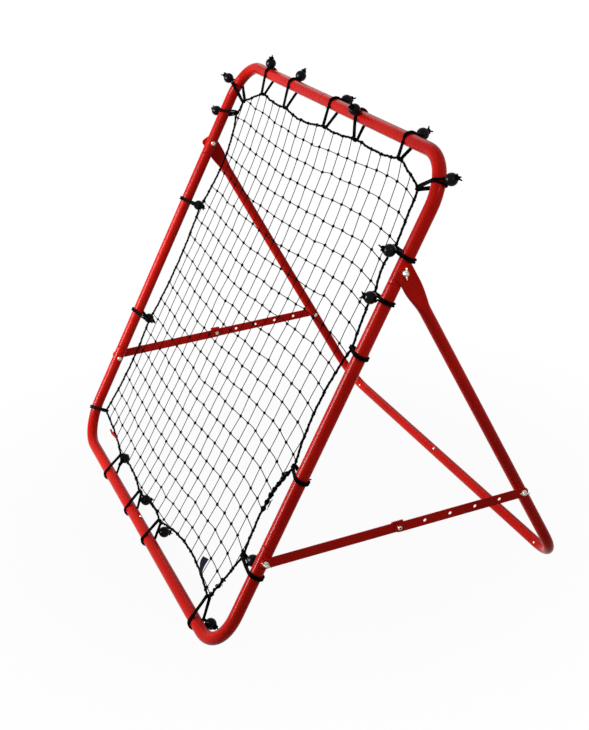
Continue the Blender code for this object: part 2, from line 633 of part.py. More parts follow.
def tie_mesh(name):
    # Elastic loop round the tube and the border cord, with a ball that holds it.
    rail, share, _, _, ball_angle, ball_reach, ball_shift = TIES[name]
    cord = TIE_RADIUS
    centre, outward, along = rail_at(rail, share)
    x, height = tie_vertex(name)
    vertex = np.array([x, 0, height])
    pull = (centre - vertex) / np.linalg.norm(centre - vertex)
    round_tube = RAIL_RADIUS + GAP + cord
    round_border = BORDER_DIAMETER / 2 + GAP + cord
    wide = round_tube / float(pull @ outward)
    # On the floor bar one straight stretch of the loop lies flat on the ground.
    turn = TIE_ARC_STEP - degrees(FRAME_LEAN) if rail == "bottom" else 0.0
    reach = TIE_ARC_STEP * 2.5
    path = np.vstack([
        arc(centre, pull, (wide, round_tube), turn - reach, turn + reach, TIE_ARC_STEP),
        arc(vertex, pull, (round_border, round_border), 105, 255, 50),
    ])
    across = np.cross(pull, [0.0, 1.0, 0.0])
    mesh = swept(path, cord, TIE_SIDES, across)
    angle = radians(ball_angle)
    side = cos(angle) * outward + sin(angle) * np.array([0.0, -1.0, 0.0])
    ball = centre + BALL_REACH * (ball_reach * side + ball_shift * along)
    shape = bmesh.new()
    bmesh.ops.create_uvsphere(shape, u_segments=8, v_segments=5, radius=BALL_DIAMETER / 2,
                              matrix=Matrix.Translation(ball))
    closed = np.vstack([path, path[:1]])
    step = np.linspace(0, 1, TIE_NEAR_STEPS)[:, None, None]
    dense = ((1 - step) * closed[:-1] + step * closed[1:]).reshape(-1, 3)
    near = dense[np.argmin(np.linalg.norm(dense - ball, axis=1))]
    mesh = combine(mesh, mesh_from(shape), "UNION")
    if np.linalg.norm(near - ball) > BALL_DIAMETER / 2 - cord:
        mesh = combine(mesh, cylinder(near, ball, cord, TIE_SIDES), "UNION")
    return mesh


def cut_flat(mesh, down, height):
    # Takes off everything below the floor and closes the cut.
    shape = bmesh.new()
    shape.from_mesh(mesh)
    geometry = list(shape.verts) + list(shape.edges) + list(shape.faces)
    cut = bmesh.ops.bisect_plane(shape, geom=geometry, plane_co=Vector(down) * height,
                                 plane_no=Vector(down), clear_outer=True)
    edges = [item for item in cut["geom_cut"] if isinstance(item, bmesh.types.BMEdge)]
    bmesh.ops.holes_fill(shape, edges=edges)
    return mesh_from(shape)


def ties(elastic, parent):
    down = (0.0, sin(FRAME_LEAN), -cos(FRAME_LEAN))
    for name, values in TIES.items():
        mesh = tie_mesh(name)
        if values[0] == "bottom":
            mesh = cut_flat(mesh, down, RAIL_REST)
        mesh_object(name, mesh, elastic, parent)


def held_vertex(name):
    # The border runs straight through its tie, square to the pull of the loop.
    centre = rail_at(*TIES[name][:2])[0]
    vertex = tie_vertex(name)
    pull = np.array([centre[0], centre[2]]) - vertex
    across = np.array([-pull[1], pull[0]]) / np.linalg.norm(pull) * BORDER_STRAIGHT
    return vertex - across, vertex + across


def border_side(first, last, steps=2):
    # Part of the border between two ties, sagging towards the net between them.
    order = BORDER_ORDER
    start, end = order.index(first), order.index(last)
    count = (end - start) % len(order)
    held = [held_vertex(order[(start + i) % len(order)]) for i in range(count + 1)]
    points = [held[0][0]]
    for (_, a), (b, _) in zip(held, held[1:]):
        normal = np.array([-(b - a)[1], (b - a)[0]])
        for share in np.arange(steps + 1) / steps:
            points.append(a + (b - a) * share + normal * BORDER_SAG * 4 * share * (1 - share))
    return np.array(points)


def inside_curve(points, across, ends, sign, inset):
    # Edge of the net: keeps the inset from every point of one side of the border.
    along = 1 - across
    place = np.linspace(*ends, NET_CURVE_POINTS)
    shift = np.abs(points[None, :, along] - place[:, None])
    lift = np.where(shift < inset, np.sqrt(np.maximum(inset ** 2 - shift ** 2, 0)), -1.0)
    edge = np.max(np.where(lift < 0, -1.0, sign * points[None, :, across] + lift), axis=1)
    curve = np.empty((len(place), 2))
    curve[:, along] = place
    curve[:, across] = sign * edge
    return curve


def border(cord, parent):
    rounds = [border_side(BORDER_ORDER[i], BORDER_ORDER[(i + 1) % len(BORDER_ORDER)])[:-1]
              for i in range(len(BORDER_ORDER))]
    flat = np.vstack(rounds)
    path = np.stack([flat[:, 0], np.zeros(len(flat)), flat[:, 1]], 1)
    mesh = swept(path, BORDER_DIAMETER / 2, 5, np.array([0.0, 1.0, 0.0]))
    mesh_object("border_cord", mesh, cord, parent)


def along_curve(points, share):
    length = np.concatenate([[0], np.cumsum(np.linalg.norm(np.diff(points, axis=0), axis=1))])
    length /= length[-1]
    return np.stack([np.interp(share, length, points[:, i]) for i in (0, 1)], 1)


def net_sides():
    # Four edges of the net between its corners, each kept inside the border.
    inset = BORDER_DIAMETER / 2 + TIE_DIAMETER + 2 * GAP + NET_BAR
    names = list(NET_CORNERS)
    sides = [border_side(a, b, NET_CURVE_POINTS) for a, b in zip(names, names[1:] + names[:1])]
    middle = np.array([0.0, TOP_Z / 2])
    corners = [tie_vertex(name) for name in names]
    corners = [c + (middle - c) / np.linalg.norm(middle - c) * 2 * inset for c in corners]
    for _ in range(3):
        bottom = inside_curve(sides[0], 1, (corners[0][0], corners[1][0]), 1, inset)
        right = inside_curve(sides[1], 0, (corners[1][1], corners[2][1]), -1, inset)
        top = inside_curve(sides[2], 1, (corners[3][0], corners[2][0]), -1, inset)
        left = inside_curve(sides[3], 0, (corners[0][1], corners[3][1]), 1, inset)
        corners = [np.array([left[0][0], bottom[0][1]]), np.array([right[0][0], bottom[-1][1]]),
                   np.array([right[-1][0], top[-1][1]]), np.array([left[-1][0], top[0][1]])]
    bottom[0], bottom[-1] = corners[0], corners[1]
    right[0], right[-1] = corners[1], corners[2]
    top[0], top[-1] = corners[3], corners[2]
    left[0], left[-1] = corners[0], corners[3]
    return bottom, right, top, left, corners


def net(twine, parent):
    # Flat lattice blended between its four sides.
    bottom, right, top, left, corners = net_sides()
    width = NET_BAR / (FRAME_WIDTH - 2 * CORNER_RADIUS)
    lines = np.arange(NET_GAPS + 1) / NET_GAPS * (1 - width)
    share = np.stack([lines, lines + width], 1).ravel()
    b, t = along_curve(bottom, share), along_curve(top, share)
    l, r = along_curve(left, share), along_curve(right, share)
    u, v = share[:, None, None], share[None, :, None]
    flat = ((1 - v) * b[:, None] + v * t[:, None] + (1 - u) * l[None] + u * r[None]
            - (1 - u) * (1 - v) * corners[0] - u * (1 - v) * corners[1]
            - u * v * corners[2] - (1 - u) * v * corners[3])
    shape = bmesh.new()
    half = NET_BAR / 2
    size = len(share)
    sheet = [[[shape.verts.new((*flat[i, j, :1], y, flat[i, j, 1])) for j in range(size)]
              for i in range(size)] for y in (-half, half)]
    for i in range(size - 1):
        for j in range(size - 1):
            cell = ((i, j), (i + 1, j), (i + 1, j + 1), (i, j + 1))
            if i % 2 and j % 2:
                for (a, c), (d, e) in zip(cell, cell[1:] + cell[:1]):
                    shape.faces.new((sheet[0][a][c], sheet[0][d][e], sheet[1][d][e], sheet[1][a][c]))
                continue
            shape.faces.new([sheet[0][a][c] for a, c in cell])
            shape.faces.new([sheet[1][a][c] for a, c in cell[::-1]])
    last = size - 1
    rim = ([(i, 0) for i in range(last)] + [(last, j) for j in range(last)]
           + [(i, last) for i in range(last, 0, -1)] + [(0, j) for j in range(last, 0, -1)])
    for (a, c), (d, e) in zip(rim, rim[1:] + rim[:1]):
        shape.faces.new((sheet[0][a][c], sheet[1][a][c], sheet[1][d][e], sheet[0][d][e]))
    mesh_object("net", mesh_from(shape), twine, parent, smooth=False)


def fabric_tab(fabric, parent):
    # Hangs on the border cord with its lower end and leans towards the middle of the net.
    foot = along_curve(border_side(*FABRIC_SPAN), np.array([FABRIC_SHARE]))[0]
    width, thickness, length = FABRIC_SIZE
    mesh = box((-width / 2, -thickness, -BORDER_DIAMETER / 2), (width / 2, 0, length))
    tab = mesh_object("fabric_tab", mesh, fabric, parent, smooth=False)
    tab.location = (foot[0], -BORDER_DIAMETER / 2 - GAP, foot[1])
    tab.rotation_euler = (0, -radians(FABRIC_LEAN), 0)


def centre_on_ground(root):
    # Moves the whole stand so that the middle of its outline lies over the origin.
    bpy.context.view_layer.update()
    solids = [item for item in bpy.context.scene.objects if item.type == "MESH"]
    points = np.array([item.matrix_world @ v.co for item in solids for v in item.data.vertices])
    low, high = points.min(axis=0), points.max(axis=0)
    root.location = (-(low[0] + high[0]) / 2, -(low[1] + high[1]) / 2, 0.0)


def build():
    clear_scene()
    paint = make_material("red_paint", (0.55, 0.012, 0.012), 0.28)
    zinc = make_material("zinc", (0.62, 0.62, 0.6), 0.35, 1.0)
    elastic = make_material("elastic", (0.015, 0.015, 0.017), 0.55)
    cord = make_material("border_cord", (0.012, 0.012, 0.013), 0.8)
    twine = make_material("twine", (0.02, 0.02, 0.022), 0.75)
    fabric = make_material("fabric", (0.012, 0.02, 0.09), 0.85)

    root = make_empty("stand", (0, 0, 0), 0.0)
    frame = make_empty("front_frame", (0, 0, RAIL_REST), -FRAME_LEAN)
    leg = make_empty("rear_leg", (0, *PIVOT), REAR_LEAN)
    fronts = make_empty("front_bars", (0, *FRONT_BOLT), STRUT_RISE)
    rears = make_empty("rear_bars", (0, *REAR_BOLT), STRUT_RISE)
    for item in (frame, leg, fronts, rears):
        item.parent = root

    frame_tubes(paint, frame)
    leg_tubes(paint, leg)
    strut_bars(paint, fronts, rears)
    fasteners(zinc, frame, leg, fronts)
    joint_screws(zinc, frame, leg)
    ties(elastic, frame)
    border(cord, frame)
    net(twine, frame)
    fabric_tab(fabric, frame)
    centre_on_ground(root)
    print(f"lean {degrees(FRAME_LEAN):.2f}, leg {degrees(REAR_LEAN):.2f}, strut {STRUT_LENGTH:.4f}, "
          f"net gap {(TOP_Z - 2 * NET_INSET) / NET_GAPS - NET_BAR:.4f}")


build()
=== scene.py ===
import json
from math import acos, cos, pi, radians, sin, tau

import bpy
import numpy as np
from mathutils import Matrix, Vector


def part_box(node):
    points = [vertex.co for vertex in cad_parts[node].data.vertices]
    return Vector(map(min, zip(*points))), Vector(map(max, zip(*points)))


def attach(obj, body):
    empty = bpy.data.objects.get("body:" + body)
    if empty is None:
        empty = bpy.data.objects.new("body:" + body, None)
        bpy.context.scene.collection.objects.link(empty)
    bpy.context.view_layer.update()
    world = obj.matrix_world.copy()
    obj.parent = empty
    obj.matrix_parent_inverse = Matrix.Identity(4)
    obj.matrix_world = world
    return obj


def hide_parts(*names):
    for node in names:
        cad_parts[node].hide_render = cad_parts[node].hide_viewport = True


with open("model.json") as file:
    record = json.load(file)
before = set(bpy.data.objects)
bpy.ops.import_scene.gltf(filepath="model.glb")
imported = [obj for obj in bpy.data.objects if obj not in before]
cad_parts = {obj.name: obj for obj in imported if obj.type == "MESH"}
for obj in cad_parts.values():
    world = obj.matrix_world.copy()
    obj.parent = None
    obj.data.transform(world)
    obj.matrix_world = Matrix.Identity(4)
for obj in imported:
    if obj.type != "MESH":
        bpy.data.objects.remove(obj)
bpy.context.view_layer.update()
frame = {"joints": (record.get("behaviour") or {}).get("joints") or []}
joints = {joint["name"]: np.array(joint["pos_m"]) for joint in frame["joints"]}


def unit(vectors):
    return vectors / np.linalg.norm(vectors, axis=-1, keepdims=True)


# Where the stand is: one set of directions for the front frame, one for the rear leg
stand = {
    "pivotAt": 0.774, "topBarAt": 0.975,   # up the slope from the middle of the floor bar
    "legLength": 0.759,                    # from the pivot to the middle of the rear bar
}
right = np.array([1.0, 0.0, 0.0])
middleX = joints["leg_fold"][0]
pivot, frontBolt, rearBolt = (
    np.array([middleX, *joints[name][1:]])
    for name in ("leg_fold", "front_bar_turn_right", "rear_bar_turn_right"))
slope = unit(pivot - frontBolt)
slopeBack = np.cross(slope, right)
barMiddle = pivot - slope * stand["pivotAt"]
legDown = unit(rearBolt - pivot)
legBack = np.cross(right, legDown)
strutWay = unit(rearBolt - frontBolt)
strutUp = np.cross(right, strutWay)
sides = (("right", 1), ("left", -1))
rng = np.random.default_rng(7)


def roomOf(origin, along, behind):
    # Gives the function from a flat frame to the room: across, along it and behind its plane
    def place(x, run, depth=0.0):
        x, run, depth = np.broadcast_arrays(x, run, depth)
        return origin + x[..., None] * right + run[..., None] * along + depth[..., None] * behind
    return place


onFrame = roomOf(barMiddle, slope, slopeBack)   # up the slope from the floor bar
onLeg = roomOf(pivot, legDown, legBack)         # down from the pivot


def gridSkin(points, wrapRows=False, capped=False):
    # A grid of points, rows by columns, skinned with quads. The last column joins the first, and
    # so does the last row when wrapped; a cap closes an end with a fan round the middle of its
    # row. The map runs along the rows in metres and round the columns from 0 to 1.
    rows, cols = points.shape[:2]
    i = np.arange(rows if wrapRows else rows - 1)[:, None]
    j = np.arange(cols)[None]
    onRow, onCol = (i + 1) % rows, (j + 1) % cols
    quads = np.stack(np.broadcast_arrays(
        i * cols + j, i * cols + onCol, onRow * cols + onCol, onRow * cols + j), -1).reshape(-1, 4)
    step = np.linalg.norm(np.diff(points.mean(axis=1), axis=0), axis=1)
    run = np.cumsum([0, *step, step[-1]])
    u, v = run[i + [0, 0, 1, 1]][:, None], (j.T + [0, 1, 1, 0])[None] / cols
    quadUv = np.stack(np.broadcast_arrays(u, v), -1).reshape(-1, 4, 2)
    corners = points.reshape(-1, 3)
    tris, triUv = np.empty((0, 3), int), np.empty((0, 3, 2))
    if capped:
        ring, onRing, top, hub = j[0], onCol[0], (rows - 1) * cols, np.full(cols, len(corners))
        corners = np.vstack([corners, points[[0, -1]].mean(axis=1)])
        tris = np.vstack([np.stack([hub, onRing, ring], 1),
                          np.stack([hub + 1, top + ring, top + onRing], 1)])
        triUv = np.zeros((2 * cols, 3, 2))
        triUv[cols:, :, 0] = run[rows - 1]
        triUv[:, 1:, 1] = np.tile(np.stack([ring, ring + 1], 1) / cols, (2, 1))
    # The signed volume under all faces tells which way they look; a negative one turns them over
    fans = np.vstack([quads[:, :3], quads[:, [0, 2, 3]], tris])
    a, b, c = (corners - corners.mean(axis=0))[fans.T]
    if np.einsum("ij,ij->", a, np.cross(b, c)) < 0:
        quads, quadUv, tris, triUv = (part[:, ::-1] for part in (quads, quadUv, tris, triUv))
    return corners, quads, tris, quadUv, triUv


def addPiece(name, mesh, body, slot, nodes=(), material=None):
    # Gives a new mesh its finish and its body, and lets it stand for its solids
    mesh.materials.append(material or finishes[slot])
    mesh.shade_smooth()
    mesh.set_sharp_from_angle(angle=radians({"zinc": 50, "fabric": 60}.get(slot, 40)))
    piece = bpy.data.objects.new(name, mesh)
    bpy.context.collection.objects.link(piece)
    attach(piece, body)
    if nodes:
        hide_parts(*nodes)
    return piece


def makePiece(name, skins, body, slot, nodes=(), material=None):
    # Writes skins into one mesh, each one's corners counted on from the last
    points, quads, tris, *maps = zip(*skins)
    starts = np.cumsum([0] + [len(part) for part in points])
    faces = [np.vstack([part + n for part, n in zip(kind, starts)]) for kind in (quads, tris)]
    corners = np.concatenate([kind.ravel() for kind in faces])
    size = np.repeat([4, 3], [len(kind) for kind in faces])
    mesh = bpy.data.meshes.new(name)
    mesh.vertices.add(int(starts[-1]))
    mesh.vertices.foreach_set("co", np.vstack(points).ravel())
    mesh.loops.add(len(corners))
    mesh.loops.foreach_set("vertex_index", corners.astype(np.int32))
    mesh.polygons.add(len(size))
    mesh.polygons.foreach_set("loop_start", (np.cumsum(size) - size).astype(np.int32))
    mesh.update(calc_edges=True)
    layer = mesh.uv_layers.new(name="alongAndRound")
    layer.data.foreach_set("uv", np.concatenate([part.ravel() for kind in maps for part in kind]))
    mesh.validate()
    addPiece(name, mesh, body, slot, nodes, material)


def ringOf(count, across, over):
    # Points of a unit ring: across by the cosine of the turn and over by its sine
    turn = np.arange(count) * tau / count
    return np.cos(turn)[:, None] * across[..., None, :] + np.sin(turn)[:, None] * over[..., None, :]


def carry(path, radius, count, beside, closed=False):
    # A round section carried along a path: at each point the ring lies across the path, and
    # starts from the direction that stands square to the path and to the vector beside. An open
    # cord gets rounded ends: rings that shrink as the sine of a quarter turn.
    ahead = unit(np.roll(path, -1, axis=0) - np.roll(path, 1, axis=0) if closed
                 else np.gradient(path, axis=0))
    radius = np.array(np.broadcast_to(np.asarray(radius, float), len(path)))
    beside = np.broadcast_to(beside, path.shape)
    if not closed:
        turn = np.radians([12, 45, 75])
        grow, back = np.sin(turn), np.cos(turn)[:, None] * 0.8
        path = np.vstack([path[0] - ahead[0] * radius[0] * back, path,
                          path[-1] + ahead[-1] * radius[-1] * back[::-1]])
        ahead, beside = (np.pad(way, ((3, 3), (0, 0)), "edge") for way in (ahead, beside))
        radius = np.concatenate([radius[0] * grow, radius, radius[-1] * grow[::-1]])
    out = unit(np.cross(ahead, beside))
    ring = ringOf(count, out, np.cross(out, ahead))
    return gridSkin(path[:, None] + radius[:, None, None] * ring, closed, not closed)


def acrossOf(axis):
    # An axis made a unit, and two directions square to it and to each other
    axis = unit(np.asarray(axis, float))
    across = unit(np.cross(axis, slope + right * 0.3 + slopeBack * 0.1))
    return axis, across, np.cross(axis, across)


def lathe(profile, centre, axis, count=40, closed=False):
    # Turns (radius, place along the axis) round the axis
    axis, across, over = acrossOf(axis)
    radius, place = np.asarray(profile, float).T[:, :, None, None]
    return gridSkin(centre + place * axis + radius * ringOf(count, across, over),
                    closed, not closed)


def roundedLoop(count, squareness):
    # Superellipse of unit size: the powers of cosine and sine make its corners squarer
    turn = np.arange(count) * tau / count
    power = 2 / np.asarray(squareness, float)[..., None]
    return (np.sign(wave(turn)) * np.abs(wave(turn)) ** power for wave in (np.cos, np.sin))


def ovalSkin(path, wide, thick, across, over, count, squareness):
    # Superellipse carried along a path: its half width lies across, its half thickness over
    a, b = roundedLoop(count, squareness)
    return gridSkin(path[:, None] + (wide[:, None] * a)[..., None] * across[..., None, :]
                    + (thick[:, None] * b)[..., None] * over[..., None, :], capped=True)


def startMaterial(name):
    material = bpy.data.materials.new(name)
    material.use_nodes = True
    return material, material.node_tree


def feed(node, inputs):
    # Each input gets a value, or a link where that value is another node's output
    for name, value in inputs.items():
        socket = node.inputs[name]
        if isinstance(value, bpy.types.NodeSocket):
            node.id_data.links.new(value, socket)
        else:
            socket.default_value = (*value, 1.0) if socket.type == "RGBA" else value
    return node


def addNode(tree, kind, inputs=None, **settings):
    node = tree.nodes.new(kind)
    for name, value in settings.items():
        setattr(node, name, value)
    return feed(node, inputs or {})


def onPiece(tree):
    # Place on the piece in metres, which moves with the piece
    return addNode(tree, "ShaderNodeTexCoord").outputs["Object"]


def addNoise(place, scale, detail):
    inputs = {"Vector": place, "Scale": scale, "Detail": detail, "Roughness": 0.55}
    return addNode(place.id_data, "ShaderNodeTexNoise", inputs).outputs["Fac"]


def addCells(place, scale):
    # Distance to the nearest of scattered points
    inputs = {"Vector": place, "Scale": scale}
    return addNode(place.id_data, "ShaderNodeTexVoronoi", inputs).outputs["Distance"]


def spreadValue(share, low, high, toLow, toHigh):
    # Straight line from low-high to toLow-toHigh, held at its ends
    names = ("Value", "From Min", "From Max", "To Min", "To Max")
    inputs = dict(zip(names, (share, low, high, toLow, toHigh)))
    return addNode(share.id_data, "ShaderNodeMapRange", inputs).outputs["Result"]


def blendColours(share, first, second, low=0.0, high=1.0):
    # Two colours mixed by a share that is first spread from low-high to 0-1
    inputs = {"Factor": spreadValue(share, low, high, 0.0, 1.0), 6: first, 7: second}
    return addNode(share.id_data, "ShaderNodeMix", inputs, data_type="RGBA").outputs[2]


def joinMath(operation, first, second=0.0):
    inputs = {0: first, 1: second}
    return addNode(first.id_data, "ShaderNodeMath", inputs, operation=operation).outputs[0]


def sineOf(value, factor):
    return joinMath("SINE", joinMath("MULTIPLY", value, factor))


def dress(tree, inputs, height, strength, distance):
    # Feeds the shader and lays a bump over it
    bump = addNode(tree, "ShaderNodeBump",
                   {"Height": height, "Strength": strength, "Distance": distance})
    feed(tree.nodes["Principled BSDF"], {**inputs, "Normal": bump.outputs["Normal"]})


paint = {
    "fresh": (0.640, 0.0115, 0.0060), "deep": (0.520, 0.0065, 0.0045), "dust": (0.66, 0.10, 0.08),
    "roughness": (0.19, 0.22), "specular": 0.030, "dustShare": 0.2,
    "cloud": 9.0, "speck": 380.0, "gloss": 60.0, "peel": 700.0, "ripple": 160.0,   # scales
    "bump": (0.007, 0.0004),
}


def redPaint():
    # Gloss powder coat: soft orange peel, a little dust, faint changes of depth in the red
    material, tree = startMaterial("redPaint")
    place = onPiece(tree)
    cloud = addNoise(place, paint["cloud"], 4.0)
    colour = blendColours(cloud, paint["deep"], paint["fresh"], 0.30, 0.62)
    dust = joinMath("MULTIPLY", spreadValue(addCells(place, paint["speck"]), 0.05, 0.10, 1.0, 0.0),
                    spreadValue(cloud, 0.58, 0.75, 0.0, paint["dustShare"]))
    gloss = addNoise(place, paint["gloss"], 5.0)
    peel = joinMath("ADD", addNoise(place, paint["peel"], 1.0),
                    joinMath("MULTIPLY", addNoise(place, paint["ripple"], 1.0), 1.5))
    dress(tree, {"Base Color": blendColours(dust, colour, paint["dust"]),
                 "Roughness": spreadValue(gloss, 0.35, 0.65, *paint["roughness"]),
                 "Specular IOR Level": paint["specular"]}, peel, *paint["bump"])
    return material


plating = {
    "spangle": ((0.26, 0.25, 0.22), (0.56, 0.53, 0.45)), "dull": (0.20, 0.17, 0.12),
    "roughness": (0.28, 0.46), "cells": 900.0, "cloud": 260.0, "marks": 2200.0,
    "bump": (0.15, 0.0002),
}


def zincPlate():
    # Bright zinc: cool spangle in patches, a few dull spots, fine turning marks
    material, tree = startMaterial("zincPlate")
    place = onPiece(tree)
    cloud = addNoise(place, plating["cloud"], 4.0)
    patch = blendColours(addCells(place, plating["cells"]), *plating["spangle"], 0.0, 0.7)
    dress(tree, {"Base Color": blendColours(cloud, patch, plating["dull"], 0.52, 0.75),
                 "Metallic": 1.0,
                 "Roughness": spreadValue(cloud, 0.3, 0.7, *plating["roughness"])},
          addNoise(place, plating["marks"], 2.0), *plating["bump"])
    return material


def ownMap(tree):
    # Metres along the piece, and the share of the way round it
    place = addNode(tree, "ShaderNodeUVMap", uv_map="alongAndRound").outputs["UV"]
    return addNode(tree, "ShaderNodeSeparateXYZ", {"Vector": place}).outputs[:2]


# lift: how many times lighter the black is on the weave's crests (painted highlight) and on the
# flecks of fluff
sheath = {"fluff": 1400.0, "lift": 1.6, "specular": 0.004, "sheen": (0.001, 0.5), "strength": 0.5}


def braidedBlack(name, colour, along, around, roughness, depth):
    # Plaited sheath on the cord's own map: two families of slanting ridges cross each other, with a
    # painted highlight on their crests and painted shade between them
    material, tree = startMaterial(name)
    place = onPiece(tree)
    u, v = (joinMath("MULTIPLY", way, turns) for way, turns in zip(ownMap(tree), (along, around)))
    weave = joinMath("MAXIMUM", *(sineOf(joinMath(way, u, v), tau) for way in ("ADD", "SUBTRACT")))
    fluff = addNoise(place, sheath["fluff"], 3.0)
    light = tuple(channel * sheath["lift"] + 0.001 for channel in colour)
    # Painted highlight and shade: lighter where the weave's ridges rise, dark in the grooves
    # between them, as the bump is
    base = blendColours(weave, colour, light, -0.2, 1.2)
    dress(tree, {"Base Color": blendColours(fluff, base, light, 0.60, 0.95),
                 "Roughness": roughness, "Specular IOR Level": sheath["specular"],
                 "Sheen Weight": sheath["sheen"][0], "Sheen Roughness": sheath["sheen"][1]},
          joinMath("ADD", weave, joinMath("MULTIPLY", fluff, 0.6)), sheath["strength"], depth)
    return material


moulding = {
    "colours": ((0.0022, 0.0022, 0.0026), (0.0075, 0.0075, 0.0085)), "roughness": (0.20, 0.32),
    "specular": 0.06, "cloud": 95.0, "ripple": 180.0, "grit": 1500.0, "bump": (0.12, 0.0005),
}


def ballBlack():
    # Moulded ball: glossy black with the soft ripple of the mould and dull handling marks
    material, tree = startMaterial("ballBlack")
    place = onPiece(tree)
    cloud = addNoise(place, moulding["cloud"], 4.0)
    ripple = joinMath("ADD", *(addNoise(place, moulding[kind], 2.0) for kind in ("ripple", "grit")))
    dress(tree, {"Base Color": blendColours(cloud, *moulding["colours"], 0.35, 0.75),
                 "Roughness": spreadValue(cloud, 0.35, 0.70, *moulding["roughness"]),
                 "Specular IOR Level": moulding["specular"]}, ripple, *moulding["bump"])
    return material


tape = {"warp": 1600, "weft": 44, "roughness": 0.85, "specular": 0.04, "sheen": 0.01,
        "bump": (0.6, 0.0003)}


def wovenTape(name, dark, light):
    # Woven tape: warp and weft ridges on the map, with a painted highlight on their crests and
    # painted shade between them
    material, tree = startMaterial(name)
    weave = joinMath("MULTIPLY", *(sineOf(way, tau * tape[kind])
                                   for way, kind in zip(ownMap(tree), ("warp", "weft"))))
    # Painted highlight and shade: the second colour lies on the crests of warp and weft, the first
    # in the hollows
    dress(tree, {"Base Color": blendColours(weave, dark, light, -1.0, 1.0),
                 "Roughness": tape["roughness"], "Specular IOR Level": tape["specular"],
                 "Sheen Weight": tape["sheen"]}, weave, *tape["bump"])
    return material


def mixSurfaces(output, share, first, second):
    # Lets a share of the second surface through to an output node
    mix = addNode(output.id_data, "ShaderNodeMixShader",
                  {0: share, 1: first.outputs[0], 2: second.outputs[0]})
    feed(output, {"Surface": mix.outputs[0]})


def seenRays(tree):
    # 1 for the camera's own rays and for those that gloss and glass send on
    rays = addNode(tree, "ShaderNodeLightPath").outputs
    seen = joinMath("MAXIMUM", rays["Is Camera Ray"], rays["Is Glossy Ray"])
    return joinMath("MAXIMUM", seen, rays["Is Transmission Ray"])


ground = {
    "colour": 0.34, "reach": 14.0, "roughness": 0.9, "specular": 0.1, "grain": 3.0,
    "seenNear": 0.955, "nearEnd": 0.45, "farStart": 1.0,   # share of plain white that is seen
}


def paleGround():
    # Pale matt floor that the camera sees brighter, all white away from the object, so that it
    # meets the white behind it and still keeps the shadow round the feet
    material, tree = startMaterial("paleGround")
    place = onPiece(tree)
    low, high = ([ground["colour"] * k] * 3 for k in (0.97, 1.0))
    shader = feed(tree.nodes["Principled BSDF"], {
        "Base Color": blendColours(addNoise(place, ground["grain"], 3.0), low, high),
        "Roughness": ground["roughness"], "Specular IOR Level": ground["specular"]})
    glow = addNode(tree, "ShaderNodeEmission", {"Color": (1.0, 1.0, 1.0), "Strength": 1.0})
    away = addNode(tree, "ShaderNodeVectorMath", {0: place}, operation="LENGTH").outputs["Value"]
    far = spreadValue(away, ground["nearEnd"], ground["farStart"], ground["seenNear"], 1.0)
    mixSurfaces(tree.nodes["Material Output"], joinMath("MULTIPLY", seenRays(tree), far),
                shader, glow)
    return material


red = redPaint()
# Plaited blacks, each painted lighter on the crests of its weave as a painted highlight
braid = braidedBlack("borderBraid", (0.0030, 0.0030, 0.0034), 260.0, 4.0, 0.80, 0.0004)
twine = braidedBlack("netTwine", (0.0040, 0.0040, 0.0045), 420.0, 1.0, 0.78, 0.0002)
elastic = braidedBlack("elasticSheath", (0.0026, 0.0026, 0.0030), 330.0, 5.0, 0.62, 0.0003)
# Each tape's second colour is its painted highlight on the crests of the weave
navyTape = wovenTape("navyTape", (0.0025, 0.0032, 0.0110), (0.0060, 0.0080, 0.0240))
redThread = wovenTape("redThread", (0.30, 0.008, 0.010), (0.60, 0.03, 0.03))
ball = ballBlack()
finishes = {"red_paint": red, "zinc": zincPlate(), "elastic": elastic, "border_cord": braid,
            "twine": twine, "fabric": navyTape}
print("materials are ready")


view = {
    # From the middle of the floor bar to the eye, and the turns and lens that match the picture
    "eye": (2.31659, -0.505511, 1.413121), "azimuth": 2.77997, "elevation": -0.42255,
    "roll": -0.05305, "lens": 62.551,
}


def putAt(item, across, over, behind, place):
    # Stands a camera or lamp at its place; it looks against the direction behind it
    turn = np.column_stack([across, over, behind, place])
    item.matrix_world = Matrix([*turn.tolist(), [0.0, 0.0, 0.0, 1.0]])
    bpy.context.collection.objects.link(item)


def addCamera():
    a, e, r = view["azimuth"], view["elevation"], view["roll"]
    ahead = np.array([cos(e) * cos(a), cos(e) * sin(a), sin(e)])
    across = unit(np.cross(ahead, [0.0, 0.0, 1.0]))
    over = np.cross(across, ahead)
    camera = bpy.data.objects.new("camera", bpy.data.cameras.new("camera"))
    camera.data.lens = view["lens"]
    putAt(camera, cos(r) * across + sin(r) * over, cos(r) * over - sin(r) * across, -ahead,
          barMiddle + view["eye"])
    bpy.context.scene.camera = camera


lamps = {
    # A soft key, a tall box that only shows as the mirror streak down the rails, and weak helpers
    "keyLamp": {"place": (-1.6, -3.7, 1.44), "aim": (0.0, -0.1, 0.43), "size": (0.9, 1.4),
                "power": 140.0},
    "streakLamp": {"place": (-0.3, -3.95, 1.44), "aim": (0.0, -0.1, 0.43), "size": (0.36, 1.8),
                   "power": 560.0, "lightsPaint": False},
    "edgeLamp": {"place": (-2.6, 0.9, 2.3), "aim": (0.0, 0.0, 0.45), "size": (1.6, 1.6),
                 "power": 12.0},
    "leftRailLamp": {"place": (0.10, -1.25, 1.15), "aim": (-0.5, -0.10, 0.45),
                     "size": (0.3, 0.5), "power": 1.2, "spread": 62},
    "pivotLamp": {"place": (2.1, 0.5, 1.9), "aim": (0.52, 0.03, 0.66), "size": (0.4, 0.4),
                  "power": 0.35, "spread": 30},
}
room = {"colour": (0.80, 0.81, 0.83), "strength": 0.30}


